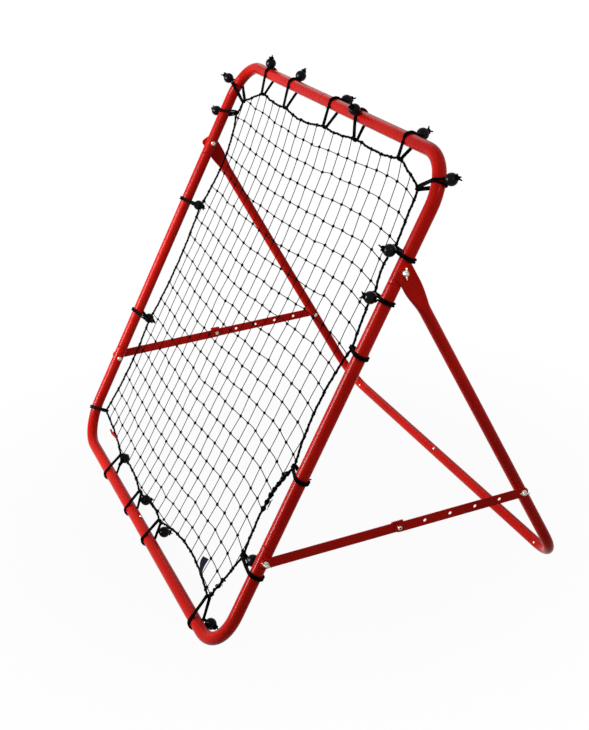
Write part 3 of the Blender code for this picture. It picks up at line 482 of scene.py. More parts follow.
def addLight():
    for name, lamp in lamps.items():
        data = bpy.data.lights.new(name, "AREA")
        data.shape = "RECTANGLE"
        data.size, data.size_y = lamp["size"]
        data.energy, data.spread = lamp["power"], radians(lamp.get("spread", 180))
        item = bpy.data.objects.new(name, data)
        item.visible_diffuse = lamp.get("lightsPaint", True)
        ahead = unit(np.subtract(lamp["aim"], lamp["place"]))
        across = unit(np.cross(ahead, slope))
        putAt(item, across, np.cross(across, ahead), -ahead, lamp["place"])
    world = bpy.data.worlds.new("paleRoom")
    bpy.context.scene.world = world
    world.use_nodes = True
    tree = world.node_tree
    behind = feed(tree.nodes["Background"],
                  {"Color": room["colour"], "Strength": room["strength"]})
    white = addNode(tree, "ShaderNodeBackground", {"Color": (1.0, 1.0, 1.0), "Strength": 1.0})
    mixSurfaces(tree.nodes["World Output"], seenRays(tree), behind, white)
    bpy.context.scene.view_settings.view_transform = "Standard"


def addGround():
    reach = np.linspace(-ground["reach"], ground["reach"], 3)
    x, y = np.meshgrid(reach, reach, indexing="ij")
    mesh = bpy.data.meshes.new("ground")
    mesh.from_pydata(np.stack([x, y, 0 * x], -1).reshape(-1, 3).tolist(), [],
                     [(k, k + 3, k + 4, k + 1) for k in (0, 1, 3, 4)])
    mesh.materials.append(paleGround())
    floor = bpy.data.objects.new("ground", mesh)
    bpy.context.collection.objects.link(floor)


addCamera()
addLight()
addGround()
print("camera, light and ground are in")


rail = {
    "radius": 0.0125, "wall": 0.0012, "sides": 56, "halfWidth": 0.5025, "bend": 0.088,
    "upperSeam": 0.748, "lowerSeam": 0.231, "topSeam": -0.034, "bottomSeam": -0.050,
    "play": 0.0003, "spigot": 0.045, "middleSpigot": 0.060,
}
leg = {
    "radius": 0.011, "wall": 0.0012, "sides": 56, "topX": 0.5172, "lean": 0.0151, "bend": 0.086,
    "seamDrop": 0.515, "footSeam": -0.050, "spigot": 0.045, "middleSpigot": 0.060,
    "paddleWidth": 0.0345, "paddleThickness": 0.0038, "flat": 0.030, "taper": 0.055,
    "tip": 0.011, "corner": 0.007,
}


def bentLine(start, corner, end, radius):
    # Straight, arc, straight in a plane, as a function of the length run from the start: before
    # and after the arc the point goes on straight, and in it it turns round the arc's middle
    start, corner, end = (np.array(p, float) for p in (start, corner, end))
    leave, arrive = unit(corner - start), unit(end - corner)
    half = acos(float(-leave @ arrive)) / 2
    back = radius / np.tan(half)
    first, last = corner - leave * back, corner + arrive * back
    centre = corner + unit(arrive - leave) * radius / sin(half)
    before, sweep = np.linalg.norm(first - start), pi - 2 * half
    total = before + sweep * radius + np.linalg.norm(end - last)

    def place(run):
        turn = np.clip((run - before) / radius, 0, sweep)[:, None]
        middle = centre + (first - centre) * np.cos(turn) + leave * radius * np.sin(turn)
        ahead = leave * np.cos(turn) + unit(centre - first) * np.sin(turn)
        straight = np.minimum(run - before, 0) + np.maximum(run - before - sweep * radius, 0)
        return middle + ahead * straight[:, None], ahead

    return place, total


def tubeSkin(place, outer, bore, toRoom, sideCount):
    # Hollow tube: rings of the outside run out along the line, and rings of the bore come back
    run, radius = np.array(outer + bore[::-1]).T
    middle, ahead = place(run)
    side = np.stack([ahead[:, 1], -ahead[:, 0]], 1)
    turn = np.arange(sideCount) * tau / sideCount
    flat = middle[:, None] + (radius[:, None] * np.cos(turn))[..., None] * side[:, None]
    return gridSkin(toRoom(flat[..., 0], flat[..., 1], radius[:, None] * np.sin(turn)), True)


def slimOf(tube):
    return tube["radius"] - tube["wall"] - rail["play"]


def neckProfile(tube, spigot, at=0.0, way=1):
    # Radii from the full tube down a short neck to the slim end that slides into the next tube
    radius, slim = tube["radius"], slimOf(tube)
    steps = [(-0.0016, radius), (-0.0006, radius - 0.0005), (0.0, slim + 0.0002),
             (0.0012, slim), (spigot - 0.001, slim), (spigot, slim - 0.0006)]
    return [(at + way * s, r) for s, r in steps][::way]


def bentTube(label, node, body, toRoom, tube, corners, spigot):
    # Radii along the tube: a softened rim at each open end, and a neck before a slim end
    place, length = bentLine(*corners, tube["bend"])
    radius, inside, margin = tube["radius"], tube["radius"] - tube["wall"], 0.004
    rim = [(0.0, radius - 0.0004), (0.00016, radius - 0.00012), (0.00056, radius)]
    outer = rim + [(s, radius) for s in np.linspace(margin, length - margin, 64)]
    bore = [(s, inside) for s in np.linspace(0.0, length - margin, 48)]
    if spigot:
        slim = slimOf(tube)
        outer += neckProfile(tube, spigot, length)
        bore += [(length, slim - tube["wall"]), (length + spigot, slim - tube["wall"])]
    else:
        outer += [(length - s, r) for s, r in rim[::-1]]
        bore += [(length, inside)]
    skin = tubeSkin(place, outer, bore, toRoom, tube["sides"])
    makePiece(label, [skin], body, "red_paint", [node])


def legX(down):
    return leg["topX"] - leg["lean"] * down / stand["legLength"]


def bentTubes():
    # The right tube of each pair is open in the middle of its bar, and the left one's slim end
    # slides into it
    for side, sign in sides:
        lap, spigot = (rail["play"], 0.0) if sign > 0 else (0.0, rail["middleSpigot"])
        for end, barAt, seam, inward in (("top", stand["topBarAt"], "upperSeam", -1),
                                         ("bottom", 0.0, "lowerSeam", 1)):
            x = sign * rail["halfWidth"]
            corners = ((x, rail[seam] - inward * rail["play"]), (x, barAt),
                       (rail[end + "Seam"] + lap, barAt))
            bentTube(f"{end}CornerTube.{side}", f"{end}_corner_{side}", "frame", onFrame, rail,
                     corners, spigot)
        start, foot = leg["seamDrop"] + 2 * rail["play"], stand["legLength"]
        corners = ((sign * legX(start), start), (sign * legX(foot), foot),
                   (leg["footSeam"] + lap, foot))
        bentTube("footTube." + side, "foot_tube_" + side, "rear_leg", onLeg, leg, corners, spigot)


def sideTubes():
    # Straight tube with a slim end on both sides
    low, length = rail["lowerSeam"], rail["upperSeam"] - rail["lowerSeam"]
    outer = (neckProfile(rail, rail["spigot"], 0.0, -1)
             + [(s, rail["radius"]) for s in np.linspace(0.004, length - 0.004, 24)]
             + neckProfile(rail, rail["spigot"], length))
    bore = [(s, slimOf(rail) - rail["wall"]) for s in (-rail["spigot"], length + rail["spigot"])]
    for side, sign in sides:
        def straight(run, x=sign * rail["halfWidth"]):
            return np.stack([x + 0 * run, low + run], 1), np.tile([0.0, 1.0], (len(run), 1))
        skin = tubeSkin(straight, outer, bore, onFrame, rail["sides"])
        makePiece("sideTube." + side, [skin], "frame", "red_paint", ["side_tube_" + side])


def pressedLeg(sign):
    # Round tube pressed flat at its top: the section is a superellipse whose thickness, width and
    # squareness change down the leg. The flat end is cut square with two rounded corners, where
    # the half width falls by one less the cosine as the height grows by the sine of the turn.
    flat, wide, radius = leg["paddleThickness"] / 2, leg["paddleWidth"] / 2, leg["radius"]
    turn = np.radians([90, 90, 89, 85, 78, 68, 57, 45, 33, 21, 10, 0])
    tuck, thin = np.zeros((2, len(turn)))
    tuck[:2], thin[:2] = (0.0016, 0.0004), (0.0009, 0.0002)
    down = leg["corner"] * (1 - np.sin(turn)) - leg["tip"]
    width = wide - leg["corner"] * (1 - np.cos(turn)) - tuck
    share = np.linspace(0.06, 1, 18)
    ease = share * share * (3 - 2 * share)
    low = leg["flat"] + leg["taper"] * share
    seam = leg["seamDrop"]
    rest = [(s, radius) for s in np.linspace(low[-1] + 0.01, seam - 0.003, 24)]
    s, r = np.array(rest + neckProfile(leg, leg["spigot"], seam)).T
    level, count = np.ones(5), len(turn) + 5
    down = np.concatenate([down, np.linspace(0.004, leg["flat"], 5), low, s])
    middle = np.concatenate([np.full(count, leg["topX"]), legX(low), legX(s)])
    thick = np.concatenate([flat - thin, flat * level, flat + (radius - flat) * ease, r])
    width = np.concatenate([width, wide * level, wide + (radius - wide) * ease, r])
    square = np.concatenate([np.full(count, 7.0), 7 - 5 * ease, np.full(len(s), 2.0)])
    across, deep = roundedLoop(leg["sides"], square)
    x = sign * (middle[:, None] + thick[:, None] * across)
    return gridSkin(onLeg(x, down[:, None], width[:, None] * deep), capped=True)


bentTubes()
sideTubes()
for side, sign in sides:
    makePiece("legTube." + side, [pressedLeg(sign)], "rear_leg", "red_paint", ["leg_tube_" + side])
print("tubes are painted")


strut = {
    "half": float(np.linalg.norm(rearBolt - frontBolt)) / 2, "width": 0.020, "thickness": 0.0025,
    "hole": 0.0033, "pitches": 5, "edge": 0.0004, "tabFront": 0.0145, "tabRear": 0.0075,
    "tabRoot": 0.0035, "tabRise": 0.0033, "tabBend": 0.0026, "tabThickness": 0.0023,
    "tabOut": 0.0055,
}


def holeCell(at, pitch, endWay):
    # Part of a flat bar round one hole: rays at even angles, with those to the cell's corners
    # among them, run from the rim of the hole to the cell's rectangle, or to the half round
    # of the bar's end where one lies that way
    wide = strut["width"] / 2
    corner = np.arctan2(wide, pitch / 2)
    turn = np.concatenate([np.arange(44) * tau / 44, corner + np.array([0.0, pi]),
                           np.array([pi, tau]) - corner, [pi / 2, 3 * pi / 2]])
    turn = np.unique(np.round(turn, 6))
    c, s = np.cos(turn), np.sin(turn)
    reach = np.minimum(pitch / 2 / np.maximum(np.abs(c), 1e-9), wide / np.maximum(np.abs(s), 1e-9))
    if endWay:
        reach = np.where(c * endWay > 1e-6, wide, reach)
    k = np.arange(len(turn))
    following = (k + 1) % len(turn)
    points = [np.stack([at + size * c, size * s], 1) for size in (strut["hole"], reach)]
    return np.vstack(points), np.stack([k, len(k) + k, len(k) + following, following], 1)


def barPlate(holes):
    # Flat bar as one open sheet: cells welded where they share an edge, and one plain face
    # between the cells of a bar that is drilled at its ends alone
    pitch = strut["half"] / strut["pitches"]
    cells = [holeCell(hole * pitch, pitch, {0: -1, strut["pitches"]: 1}.get(hole, 0))
             for hole in holes]
    starts = np.cumsum([0] + [len(points) for points, _ in cells])
    points = np.round(np.vstack([points for points, _ in cells]), 6)
    faces = np.vstack([cellFaces + n for (_, cellFaces), n in zip(cells, starts)])
    points, where = np.unique(points, axis=0, return_inverse=True)
    faces = where.ravel()[faces].tolist()
    if len(holes) == 2:
        low, high = (np.flatnonzero(np.abs(points[:, 0] - x) < 2e-6)
                     for x in (pitch / 2, strut["half"] - pitch / 2))
        faces.append([*low[np.argsort(points[low, 1])][::-1].tolist(),
                      *high[np.argsort(points[high, 1])].tolist()])
    return points, faces


def addBar(end, side, holes, way):
    # The sheet is laid along the strut in the plane of its joint and thickened both ways
    points, faces = barPlate(holes)
    places = joints[f"{end}_bar_turn_{side}"] + points[:, :1] * way + points[:, 1:] * strutUp
    name = f"strut{end.capitalize()}Bar.{side}"
    mesh = bpy.data.meshes.new(name)
    mesh.from_pydata(places.tolist(), [], faces)
    bar = addPiece(name, mesh, f"{end}_bar_{side}", "red_paint", [f"strut_{end}_bar_{side}"])
    thick = bar.modifiers.new("thick", "SOLIDIFY")
    thick.thickness, thick.offset = strut["thickness"], 0.0
    edge = bar.modifiers.new("edge", "BEVEL")
    edge.width, edge.segments = strut["edge"], 2
    edge.limit_method, edge.harden_normals = "ANGLE", True


def tabSkin(side, sign):
    # Tab of the front bar: its strip rises along the bar, turns outward in a quarter circle and
    # lies over the rear bar's upper edge; its section is a rectangle with soft corners
    wide, bend, rim = strut["width"] / 2, strut["tabBend"], 0.0003
    turn = np.linspace(0, pi / 2, 9)
    root, rise = wide - strut["tabRoot"], wide + strut["tabRise"] - bend
    x = np.concatenate([[0, 0, 0], bend * (1 - np.cos(turn)),
                        [strut["tabOut"] - rim, strut["tabOut"]]])
    up = np.concatenate([[root, root + 0.0005, wide], rise + bend * np.sin(turn),
                         [rise + bend] * 2])
    x, up = sign * x[:, None] * right, up[:, None] * strutUp
    middle = strut["half"] + (strut["tabRear"] - strut["tabFront"]) / 2
    size = np.append(np.ones(len(x) - 1), 0.9)
    path = joints["front_bar_turn_" + side] + x + middle * strutWay + up
    over = sign * np.cross(unit(np.gradient(path, axis=0)), strutWay)
    return ovalSkin(path, (strut["tabFront"] + strut["tabRear"]) / 2 * size,
                    strut["tabThickness"] / 2 * size, strutWay, over, 32, 9.0)


for side, sign in sides:
    addBar("front", side, (0, strut["pitches"]), strutWay)
    addBar("rear", side, range(strut["pitches"] + 1), -strutWay)
    makePiece("strutTab." + side, [tabSkin(side, sign)], "front_bar_" + side, "red_paint")
print("struts are drilled")


fitting = {
    "bolt": 0.003, "head": 0.005, "headHeight": 0.0028, "pitch": 0.0008, "groove": 0.00032,
    "thread": 0.0100, "hub": 0.00525, "hubTop": 0.0041, "hubHeight": 0.006, "bore": 0.0033,
    "wingReach": 0.0094, "wingRise": 0.0066, "wingWide": 0.0029, "wingThick": 0.0010,
    "wingRoot": 0.0022, "ring": 0.0045, "ringHeight": 0.0032, "ringBore": 0.0019,
}
screw = {"head": 0.0045, "high": 0.002, "recess": 0.0019, "radius": 0.003}   # at the struts
pin = {"head": 0.0034, "high": 0.0018, "recess": 0.0013, "radius": 0.002}    # at the tubes
pinPlace = {"x": -0.020, "long": 0.0054, "sunk": 0.0003}


def boltSkins(inner, tip, out):
    # Domed head at the inner face, its outline a quarter ellipse, then the shank, whose radius
    # at the end waves with the place along the axis and the angle, which makes a thread
    turn = np.linspace(pi / 2, 0, 9)
    dome = np.stack([fitting["head"] * np.cos(turn),
                     -fitting["headHeight"] * (0.25 + 0.75 * np.sin(turn))], 1)
    dome[0, 0] = 0.0004
    head = lathe([*dome, (fitting["head"], 0.0), (fitting["bolt"], 0.0)], inner, out, 32)
    length = float((tip - inner) @ out)
    bare = length - fitting["thread"]
    axis, across, over = acrossOf(out)
    along = np.concatenate([[0.0, bare - 0.0005], np.arange(bare, length - 0.0004, 0.0001),
                            [length]])
    turn = np.arange(24) / 24
    wave = np.abs((along[:, None] / fitting["pitch"] + turn) % 1 * 2 - 1)
    radius = fitting["bolt"] - np.where(along > bare, fitting["groove"], 0.0)[:, None] * wave
    radius[-1] = fitting["bolt"] - 0.0006
    shank = inner + along[:, None, None] * axis + radius[..., None] * ringOf(24, across, over)
    return [head, gridSkin(shank, capped=True)]


def nutSkins(base, out, wingWay):
    # Bored hub that narrows outward, with two ears: each is an oval section carried along a
    # line that leaves the hub outward and to the side, and its size falls to nothing at the tip
    hub, top, high, bore = (fitting[k] for k in ("hub", "hubTop", "hubHeight", "bore"))
    loop = [(bore, 0.0003), (bore + 0.0003, 0.0), (hub + 0.0004, 0.0), (hub + 0.0008, 0.0003),
            (hub + 0.0008, 0.0011), (hub + 0.0003, 0.0016), (top + 0.0003, high - 0.0007),
            (top, high - 0.0002), (top - 0.0003, high), (bore + 0.0003, high),
            (bore, high - 0.0003)]
    skins = [lathe(loop, base, out, closed=True)]
    t = np.linspace(0, 1, 20)
    size = np.sqrt(np.clip(1 - np.clip((t - 0.55) / 0.45, 0, 1) ** 2, 0.0004, 1))
    wide = fitting["wingWide"] * size * (1 + 0.25 * (1 - t))
    thick = fitting["wingThick"] * (1.5 - 0.5 * t) * size ** 0.6
    near, root = hub * 0.55, fitting["wingRoot"]
    reach = (near + (fitting["wingReach"] - near) * np.sin(t * pi / 2) ** 0.9)[:, None]
    rise = (root + (fitting["wingRise"] - root) * t ** 1.5)[:, None]
    for way in (wingWay, -wingWay):
        path, flat = base + reach * way + rise * out, np.cross(way, out)
        across = unit(np.cross(unit(np.gradient(path, axis=0)), flat))
        skins.append(ovalSkin(path, wide, thick, across, flat, 24, 2.6))
    return skins


def roundScrew(inner, out, kind, long):
    # Low domed head with a round recess in its middle and a plain shank
    head, high, recess, radius = (kind[name] for name in ("head", "high", "recess", "radius"))
    turn = np.linspace(pi / 2, 0, 7)
    dome = np.stack([recess + (head - recess) * np.cos(turn),
                     -high * (0.3 + 0.7 * np.sin(turn))], 1)
    return lathe([(0.0003, -high * 0.35), (recess * 0.9, -high * 0.35), (recess, -high * 0.5),
                  *dome, (head, 0.0), (radius, 0.0), (radius, long - 0.0004),
                  (radius - 0.0004, long)], inner, out, 36)


def endsOf(node, hole):
    # Inner and outer end of a CAD fitting on the line of its hole
    xs = sorted((corner[0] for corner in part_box(node)), key=abs)
    return (np.array([x, *hole]) for x in xs)


def boltsAndNuts():
    spots = {
        "pivot": ("pivot", "frame", "leg_fold", 120, slopeBack, slope),
        "front_strut": ("frontStrut", "frame", "front_bar_turn_right", -8, slopeBack, slope),
        "rear_strut": ("rearStrut", "rear_leg", "rear_bar_turn_right", -40, legBack, -legDown),
    }
    for name, (label, body, joint, degrees, back, up) in spots.items():
        hole, angle = joints[joint][1:], radians(degrees)
        for side, sign in sides:
            out, node = sign * right, f"{name}_bolt_{side}"
            inner, tip = endsOf(node, hole)
            skins = boltSkins(inner + out * fitting["headHeight"], tip, out)
            makePiece(f"{label}Bolt.{side}", skins, body, "zinc", [node])
            node = f"{name}_wing_nut_{side}"
            skins = nutSkins(next(endsOf(node, hole)), out, cos(angle) * back + sin(angle) * up)
            makePiece(f"{label}WingNut.{side}", skins, body, "zinc", [node])


def adjusters():
    ring, high, bore = (fitting[name] for name in ("ring", "ringHeight", "ringBore"))
    loop = [(bore, 0.0004), (0.0022, 0.0), (ring - 0.0003, 0.0), (ring, 0.0003),
            (ring, high - 0.0010), (ring - 0.0006, high - 0.0003), (ring - 0.0014, high),
            (0.0024, high + 0.0008), (bore, high + 0.0006)]
    for side, sign in sides:
        out, body = sign * right, "front_bar_" + side
        hole = (joints["front_bar_turn_" + side] + strutWay * strut["half"])[1:]
        node = "adjusting_screw_" + side
        inner, tip = endsOf(node, hole)
        inner = inner + out * screw["high"]
        skin = roundScrew(inner, out, screw, abs(tip[0] - inner[0]))
        makePiece("adjustingScrew." + side, [skin], body, "zinc", [node])
        node = "adjusting_nut_" + side
        skin = lathe(loop, next(endsOf(node, hole)), out, closed=True)
        makePiece("adjustingNut." + side, [skin], body, "zinc", [node])


def pinsAndStuds():
    x, sunk = pinPlace["x"], pinPlace["sunk"]
    deep, footAt = rail["radius"] + sunk, stand["legLength"]
    pins = {
        "top": ("frame", onFrame(x, stand["topBarAt"] - deep), slope),
        "bottom": ("frame", onFrame(x, deep), -slope),
        "foot": ("rear_leg", onLeg(x, footAt - leg["radius"] - sunk), legDown),
    }
    for name, (body, place, into) in pins.items():
        skin = roundScrew(place, into, pin, pinPlace["long"])
        makePiece(name + "JointScrew", [skin], body, "zinc", [name + "_joint_screw"])
    out = unit(-legBack * 0.55 - legDown * 0.85)
    profile = [(0.0002, 0.0016), (0.0011, 0.0015), (0.0018, 0.0012), (0.0022, 0.0006),
               (0.0024, 0.0), (0.0024, -0.0010)]
    for side, sign in sides:
        middle = onLeg(sign * 0.425, footAt) + out * (leg["radius"] + 0.0002)
        makePiece("footStud." + side, [lathe(profile, middle, out, 28)], "rear_leg", "zinc")


boltsAndNuts()
adjusters()
pinsAndStuds()
print("bolts, wing nuts and screws are in")


# The ties in the order in which the border goes round them: rail and place on it, the point where
# the tie holds the border, its ball (angle round the rail from outward to the front, reach from
# the rail's middle, shift along it), and the border's stretch to the next tie, a parabola whose
# handle lies at a share of the straight line between the two points and off it towards the net
ties = {
    "tie_left_4": ("left", 0.064, (-0.436, 0.085), -22, 0.0262, 0.0, 0.64, 0.0118),
    "tie_bottom_4": ("bottom", -0.258, (-0.244, 0.052), -144, 0.0450, -0.0212, 0.51, 0.0225),
    "tie_bottom_3": ("bottom", -0.078, (-0.074, 0.044), -141, 0.0369, -0.0003, 0.82, 0.0200),
    "tie_bottom_2": ("bottom", 0.059, (0.070, 0.048), -138, 0.0354, 0.0055, 0.52, 0.0541),
    "tie_bottom_1": ("bottom", 0.383, (0.384, 0.054), -112, 0.0246, 0.0140, 0.11, -0.0035),
    "tie_right_5": ("right", 0.174, (0.436, 0.176), 177, 0.0268, 0.0136, 0.58, 0.0433),
    "tie_right_4": ("right", 0.369, (0.464, 0.375), -152, 0.0262, 0.0, 0.48, 0.0405),
    "tie_right_3": ("right", 0.612, (0.468, 0.614), -150, 0.0262, 0.0, 0.95, 0.0143),
    "tie_right_2": ("right", 0.715, (0.459, 0.714), 136, 0.0282, -0.0062, 0.66, 0.0250),
    "tie_right_1": ("right", 0.798, (0.4535, 0.801), 122, 0.0321, -0.0024, 0.53, 0.0011),
    "tie_corner_right": ("right", 0.931, (0.440, 0.908), -12, 0.0274, 0.0016, 0.30, -0.0006),
    "tie_top_5": ("top", 0.344, (0.337, 0.940), -41, 0.0246, 0.0030, 0.26, 0.0141),
    "tie_top_4": ("top", 0.138, (0.154, 0.934), 73, 0.0246, 0.0073, 0.74, 0.0105),
    "tie_top_3": ("top", 0.016, (0.012, 0.929), -49, 0.0256, -0.0022, 0.56, 0.0220),
    "tie_top_2": ("top", -0.202, (-0.201, 0.927), -15, 0.0246, -0.0035, 0.25, 0.0120),
    "tie_top_1": ("top", -0.341, (-0.338, 0.931), 29, 0.0246, 0.0024, 0.75, 0.0028),
    "tie_corner_left": ("left", 0.921, (-0.427, 0.895), 49, 0.0274, -0.0019, 0.75, 0.0157),
    "tie_left_1": ("left", 0.850, (-0.436, 0.864), 23, 0.0269, -0.0045, 0.41, 0.0680),
    "tie_left_2": ("left", 0.625, (-0.410, 0.634), -113, 0.0311, 0.0006, 0.50, 0.0349),
    "tie_left_3": ("left", 0.330, (-0.416, 0.336), -119, 0.0311, -0.0046, 0.49, 0.0298),
}
loops = {
    "strand": 0.0020, "apart": 0.0041, "play": 0.0003, "wander": 0.0004,
    "ball": 0.0115, "dimple": 0.22, "seam": 0.012, "hangsBeside": 0.009,
    "parting": 0.0032, "partingLength": 0.008, "knot": 0.0046, "knotStrand": 0.0018,
    "tail": 0.0016, "tails": (0.0100, 0.0085),
}
border = {"radius": 0.0021, "wander": 0.0008, "soft": 0.004, "step": 0.002,
          "lashing": 0.0006, "lashingPitch": 0.017}


def railAt(railName, place):
    # Middle of the tube, the way outward and the way along it, in the frame's own plane
    bend = rail["bend"]
    if railName in ("top", "bottom"):
        up = 1 if railName == "top" else -1
        middle, outward = (place, stand["topBarAt"] if up > 0 else 0.0), (0.0, up)
        return np.array([middle, outward, (1.0, 0.0)])
    sign = 1 if railName == "right" else -1
    turn = np.arcsin((max(place - stand["topBarAt"] + bend, 0) + min(place - bend, 0)) / bend)
    c, s = cos(turn), sin(turn)
    middle = sign * (rail["halfWidth"] - bend * (1 - c)), place
    return np.array([middle, (sign * c, s), (-sign * s, c)])


def inPlane(flat, depth=0.0):
    return onFrame(flat[..., 0], flat[..., 1], depth)


def evenSteps(line, count, closed=False):
    # The same line by equal steps of its length
    if closed:
        line = np.vstack([line, line[:1]])
    run = np.cumsum([0, *np.linalg.norm(np.diff(line, axis=0), axis=1)])
    even = np.linspace(0, run[-1], count + closed)[:count]
    return np.stack([np.interp(even, run, line[:, k]) for k in range(line.shape[1])], 1)


def loopLine(centre, vertex, outward, count=120):
    # Belt round the tube and the border cord in the plane of the pull and the frame's normal:
    # an arc on each, joined by the two straight runs that touch both
    gap = np.linalg.norm(centre - vertex)
    pull = (centre - vertex) / gap
    big, small = (size + loops["play"] + loops["strand"]
                  for size in (rail["radius"], border["radius"]))
    touch = acos((big - small) / gap)
    far, near = np.linspace(-touch, touch, count // 2), np.linspace(touch, tau - touch, count // 6)
    along = [gap + big / float(pull @ outward) * np.cos(far), small * np.cos(near)]
    depth = [big * np.sin(far), small * np.sin(near)]
    line = np.stack([np.concatenate(along), np.concatenate(depth)], 1)
    return evenSteps(line, count, closed=True), pull


def ballSkin(centre, axis):
    # Ball with a bored hole: its radius dips towards both poles of the hole's axis by a bell
    # curve of the angle, and a faint raised seam runs round its middle
    lat = np.linspace(0.02, pi - 0.02, 41)
    pole, waist = np.minimum(lat, pi - lat) / 0.19, (lat - pi / 2) / 0.05
    size = loops["ball"] * (1 - loops["dimple"] * np.exp(-pole ** 2)
                            + loops["seam"] * np.exp(-waist ** 2))
    return lathe(np.stack([size * np.sin(lat), size * np.cos(lat)], 1), centre, axis, 48)


def knotSkin(centre, axis, size, thickness, count=64):
    # Overhand knot: the closed trefoil line, which winds twice round the axis while it
    # crosses three times, carried as a cord
    axis, across, over = acrossOf(axis)
    t = np.arange(count)[:, None] * tau / count
    path = ((np.sin(t) + 2 * np.sin(2 * t)) * across + (np.cos(t) - 2 * np.cos(2 * t)) * over
            - np.sin(3 * t) * axis * 1.15) * size / 3
    return carry(centre + path, thickness, 8, path + axis * size * 0.2, closed=True)


def tailSkin(base, way, curl, length, thickness):
    # Cut end of the cord: leaves straight and bends more the further it goes
    s = np.linspace(0, 1, 14)[:, None]
    path = base + way * length * s + curl * length * s ** 2
    radii = thickness * (1 - 0.25 * s[:, 0] ** 3)
    return carry(path, radii, 10, np.cross(way, curl) + way * 0.01)


def makeTie(name, values):
    # Two strands side by side round rail and border. Where the ball lies on them they part by a
    # bell curve of the way along the loop, then a neck, the ball, its knot and two cut ends.
    railName, place, vertex, ballAngle, ballReach, ballShift = values
    (centre, outward, along), vertex = railAt(railName, place), np.array(vertex)
    line, pull = loopLine(centre, vertex, outward)
    across = np.array([-pull[1], pull[0]])
    outWay, alongWay, room = (v[0] * right + v[1] * slope for v in (outward, along, across))
    angle = radians(ballAngle)
    middle = (inPlane(centre) + ballReach * (cos(angle) * outWay - sin(angle) * slopeBack)
              + ballShift * alongWay)
    beside = abs(ballShift) > loops["hangsBeside"]
    loose = np.random.default_rng(len(name) * 31 + int(abs(place) * 1000))

    def strandAt(offset):
        return inPlane(vertex + line[:, :1] * pull + offset * across, -line[:, 1])

    straight = strandAt(0.0)
    gap = np.linalg.norm(straight - middle, axis=1)
    nearest = int(np.argmin(gap))
    steps = np.abs(np.arange(len(line)) - nearest)
    away = np.minimum(steps, len(line) - steps) * np.linalg.norm(straight[1] - straight[0])
    onStrand = gap[nearest] < loops["ball"] + loops["strand"] and not beside
    bell = np.exp(-(away / loops["partingLength"]) ** 2) * onStrand
    lean = np.sign(float(room @ alongWay)) * ballShift * 0.7
    turn = np.linspace(0, tau, len(line), endpoint=False)
    strands = []
    for k, waves in ((-1, 3), (1, 2)):
        wander = loops["wander"] * np.sin(turn * waves + loose.uniform(0, tau))
        offset = k * (loops["apart"] / 2 + loops["parting"] * bell) + wander + lean * bell
        strands.append(strandAt(offset[:, None]))
    skins = [carry(path, loops["strand"], 12, room, closed=True) for path in strands]
    near = (strands[0][nearest] + strands[1][nearest]) / 2
    if beside:
        nearest = int(np.argmin(np.linalg.norm(strands[0] - middle, axis=1)))
        near = strands[0][nearest]
    axis, other, third = acrossOf(middle - near)
    if gap[nearest] > loops["ball"] + loops["strand"] * 1.5:
        s = np.linspace(0, 1, 12)[:, None]
        for k in (-1, 1):
            start = near + other * k * loops["apart"] * 0.5
            end = middle - axis * loops["ball"] * 0.72 + other * k * loops["strand"] * 0.8
            skins.append(carry(start + (end - start) * s, loops["strand"] * 0.9, 10, third))
    top = middle + axis * loops["ball"] * 0.80
    skins.append(knotSkin(top + axis * loops["knot"] * 0.55, axis, loops["knot"],
                          loops["knotStrand"]))
    for k, length in zip((1, -1), loops["tails"]):
        spin = loose.uniform(0, tau)
        tailWay = unit(axis * loose.uniform(0.5, 0.9)
                       + (other * cos(spin) + third * sin(spin)) * 0.7 * k)
        curl = (other * loose.uniform(-1, 1) + third * loose.uniform(-1, 1)) * 0.3
        skins.append(tailSkin(top + axis * 0.002, tailWay, curl, length, loops["tail"]))
    _, end, number = name.split("_")
    label = f"{end.capitalize()}.{number}"
    makePiece("tie" + label, skins, "frame", "elastic", [name])
    makePiece("ball" + label, [ballSkin(middle, axis)], "frame", "elastic", material=ball)


for tieName, tieValues in ties.items():
    makeTie(tieName, tieValues[:6])
print("ties are round the rails")


def sideOf(line):
    # The way ahead on a closed flat line, turned a quarter towards its outer side
    ahead = unit(np.roll(line, -1, axis=0) - np.roll(line, 1, axis=0))
    return np.stack([ahead[:, 1], -ahead[:, 0]], 1)


def borderLine():
    # Parabolas from tie to tie, evened out, softened at the ties by a bell-weighted average along
    # the line, with a slow small wander added
    share, cuts = np.linspace(0, 1, 60, endpoint=False)[:, None], list(ties.values())
    parts = []
    for (*_, lean, off), first, after in zip(cuts, cuts, cuts[1:] + cuts[:1]):
        start, way = np.array(first[2]), np.subtract(after[2], first[2])
        handle = start + way * lean + unit(np.array([-way[1], way[0]])) * off
        parts.append(start * (1 - share) ** 2 + handle * 2 * share * (1 - share)
                     + (start + way) * share ** 2)
    line = np.vstack(parts)
    run = np.cumsum([0, *np.linalg.norm(np.roll(line, -1, axis=0) - line, axis=1)])
    starts, count = run[::len(share)] / run[-1], round(run[-1] / border["step"])
    line = evenSteps(line, count, closed=True)
    reach = np.arange(-6, 7)
    weight = np.exp(-(reach * border["step"] / border["soft"]) ** 2)
    line = sum(w * np.roll(line, -k, axis=0) for k, w in zip(reach, weight / weight.sum()))
    at = np.arange(count) / count
    held = np.abs((at - starts[:, None] + 0.5) % 1 - 0.5).min(axis=0) * run[-1]
    drift = np.sin(at * tau * 61 + 1.0) * 0.6 + np.sin(at * tau * 97 + 2.3) * 0.4
    out = sideOf(line)
    line = line + out * (drift * border["wander"] * np.clip(held / 0.03, 0, 1))[:, None]
    return line, out, starts


borderPath, borderOut, borderStarts = borderLine()


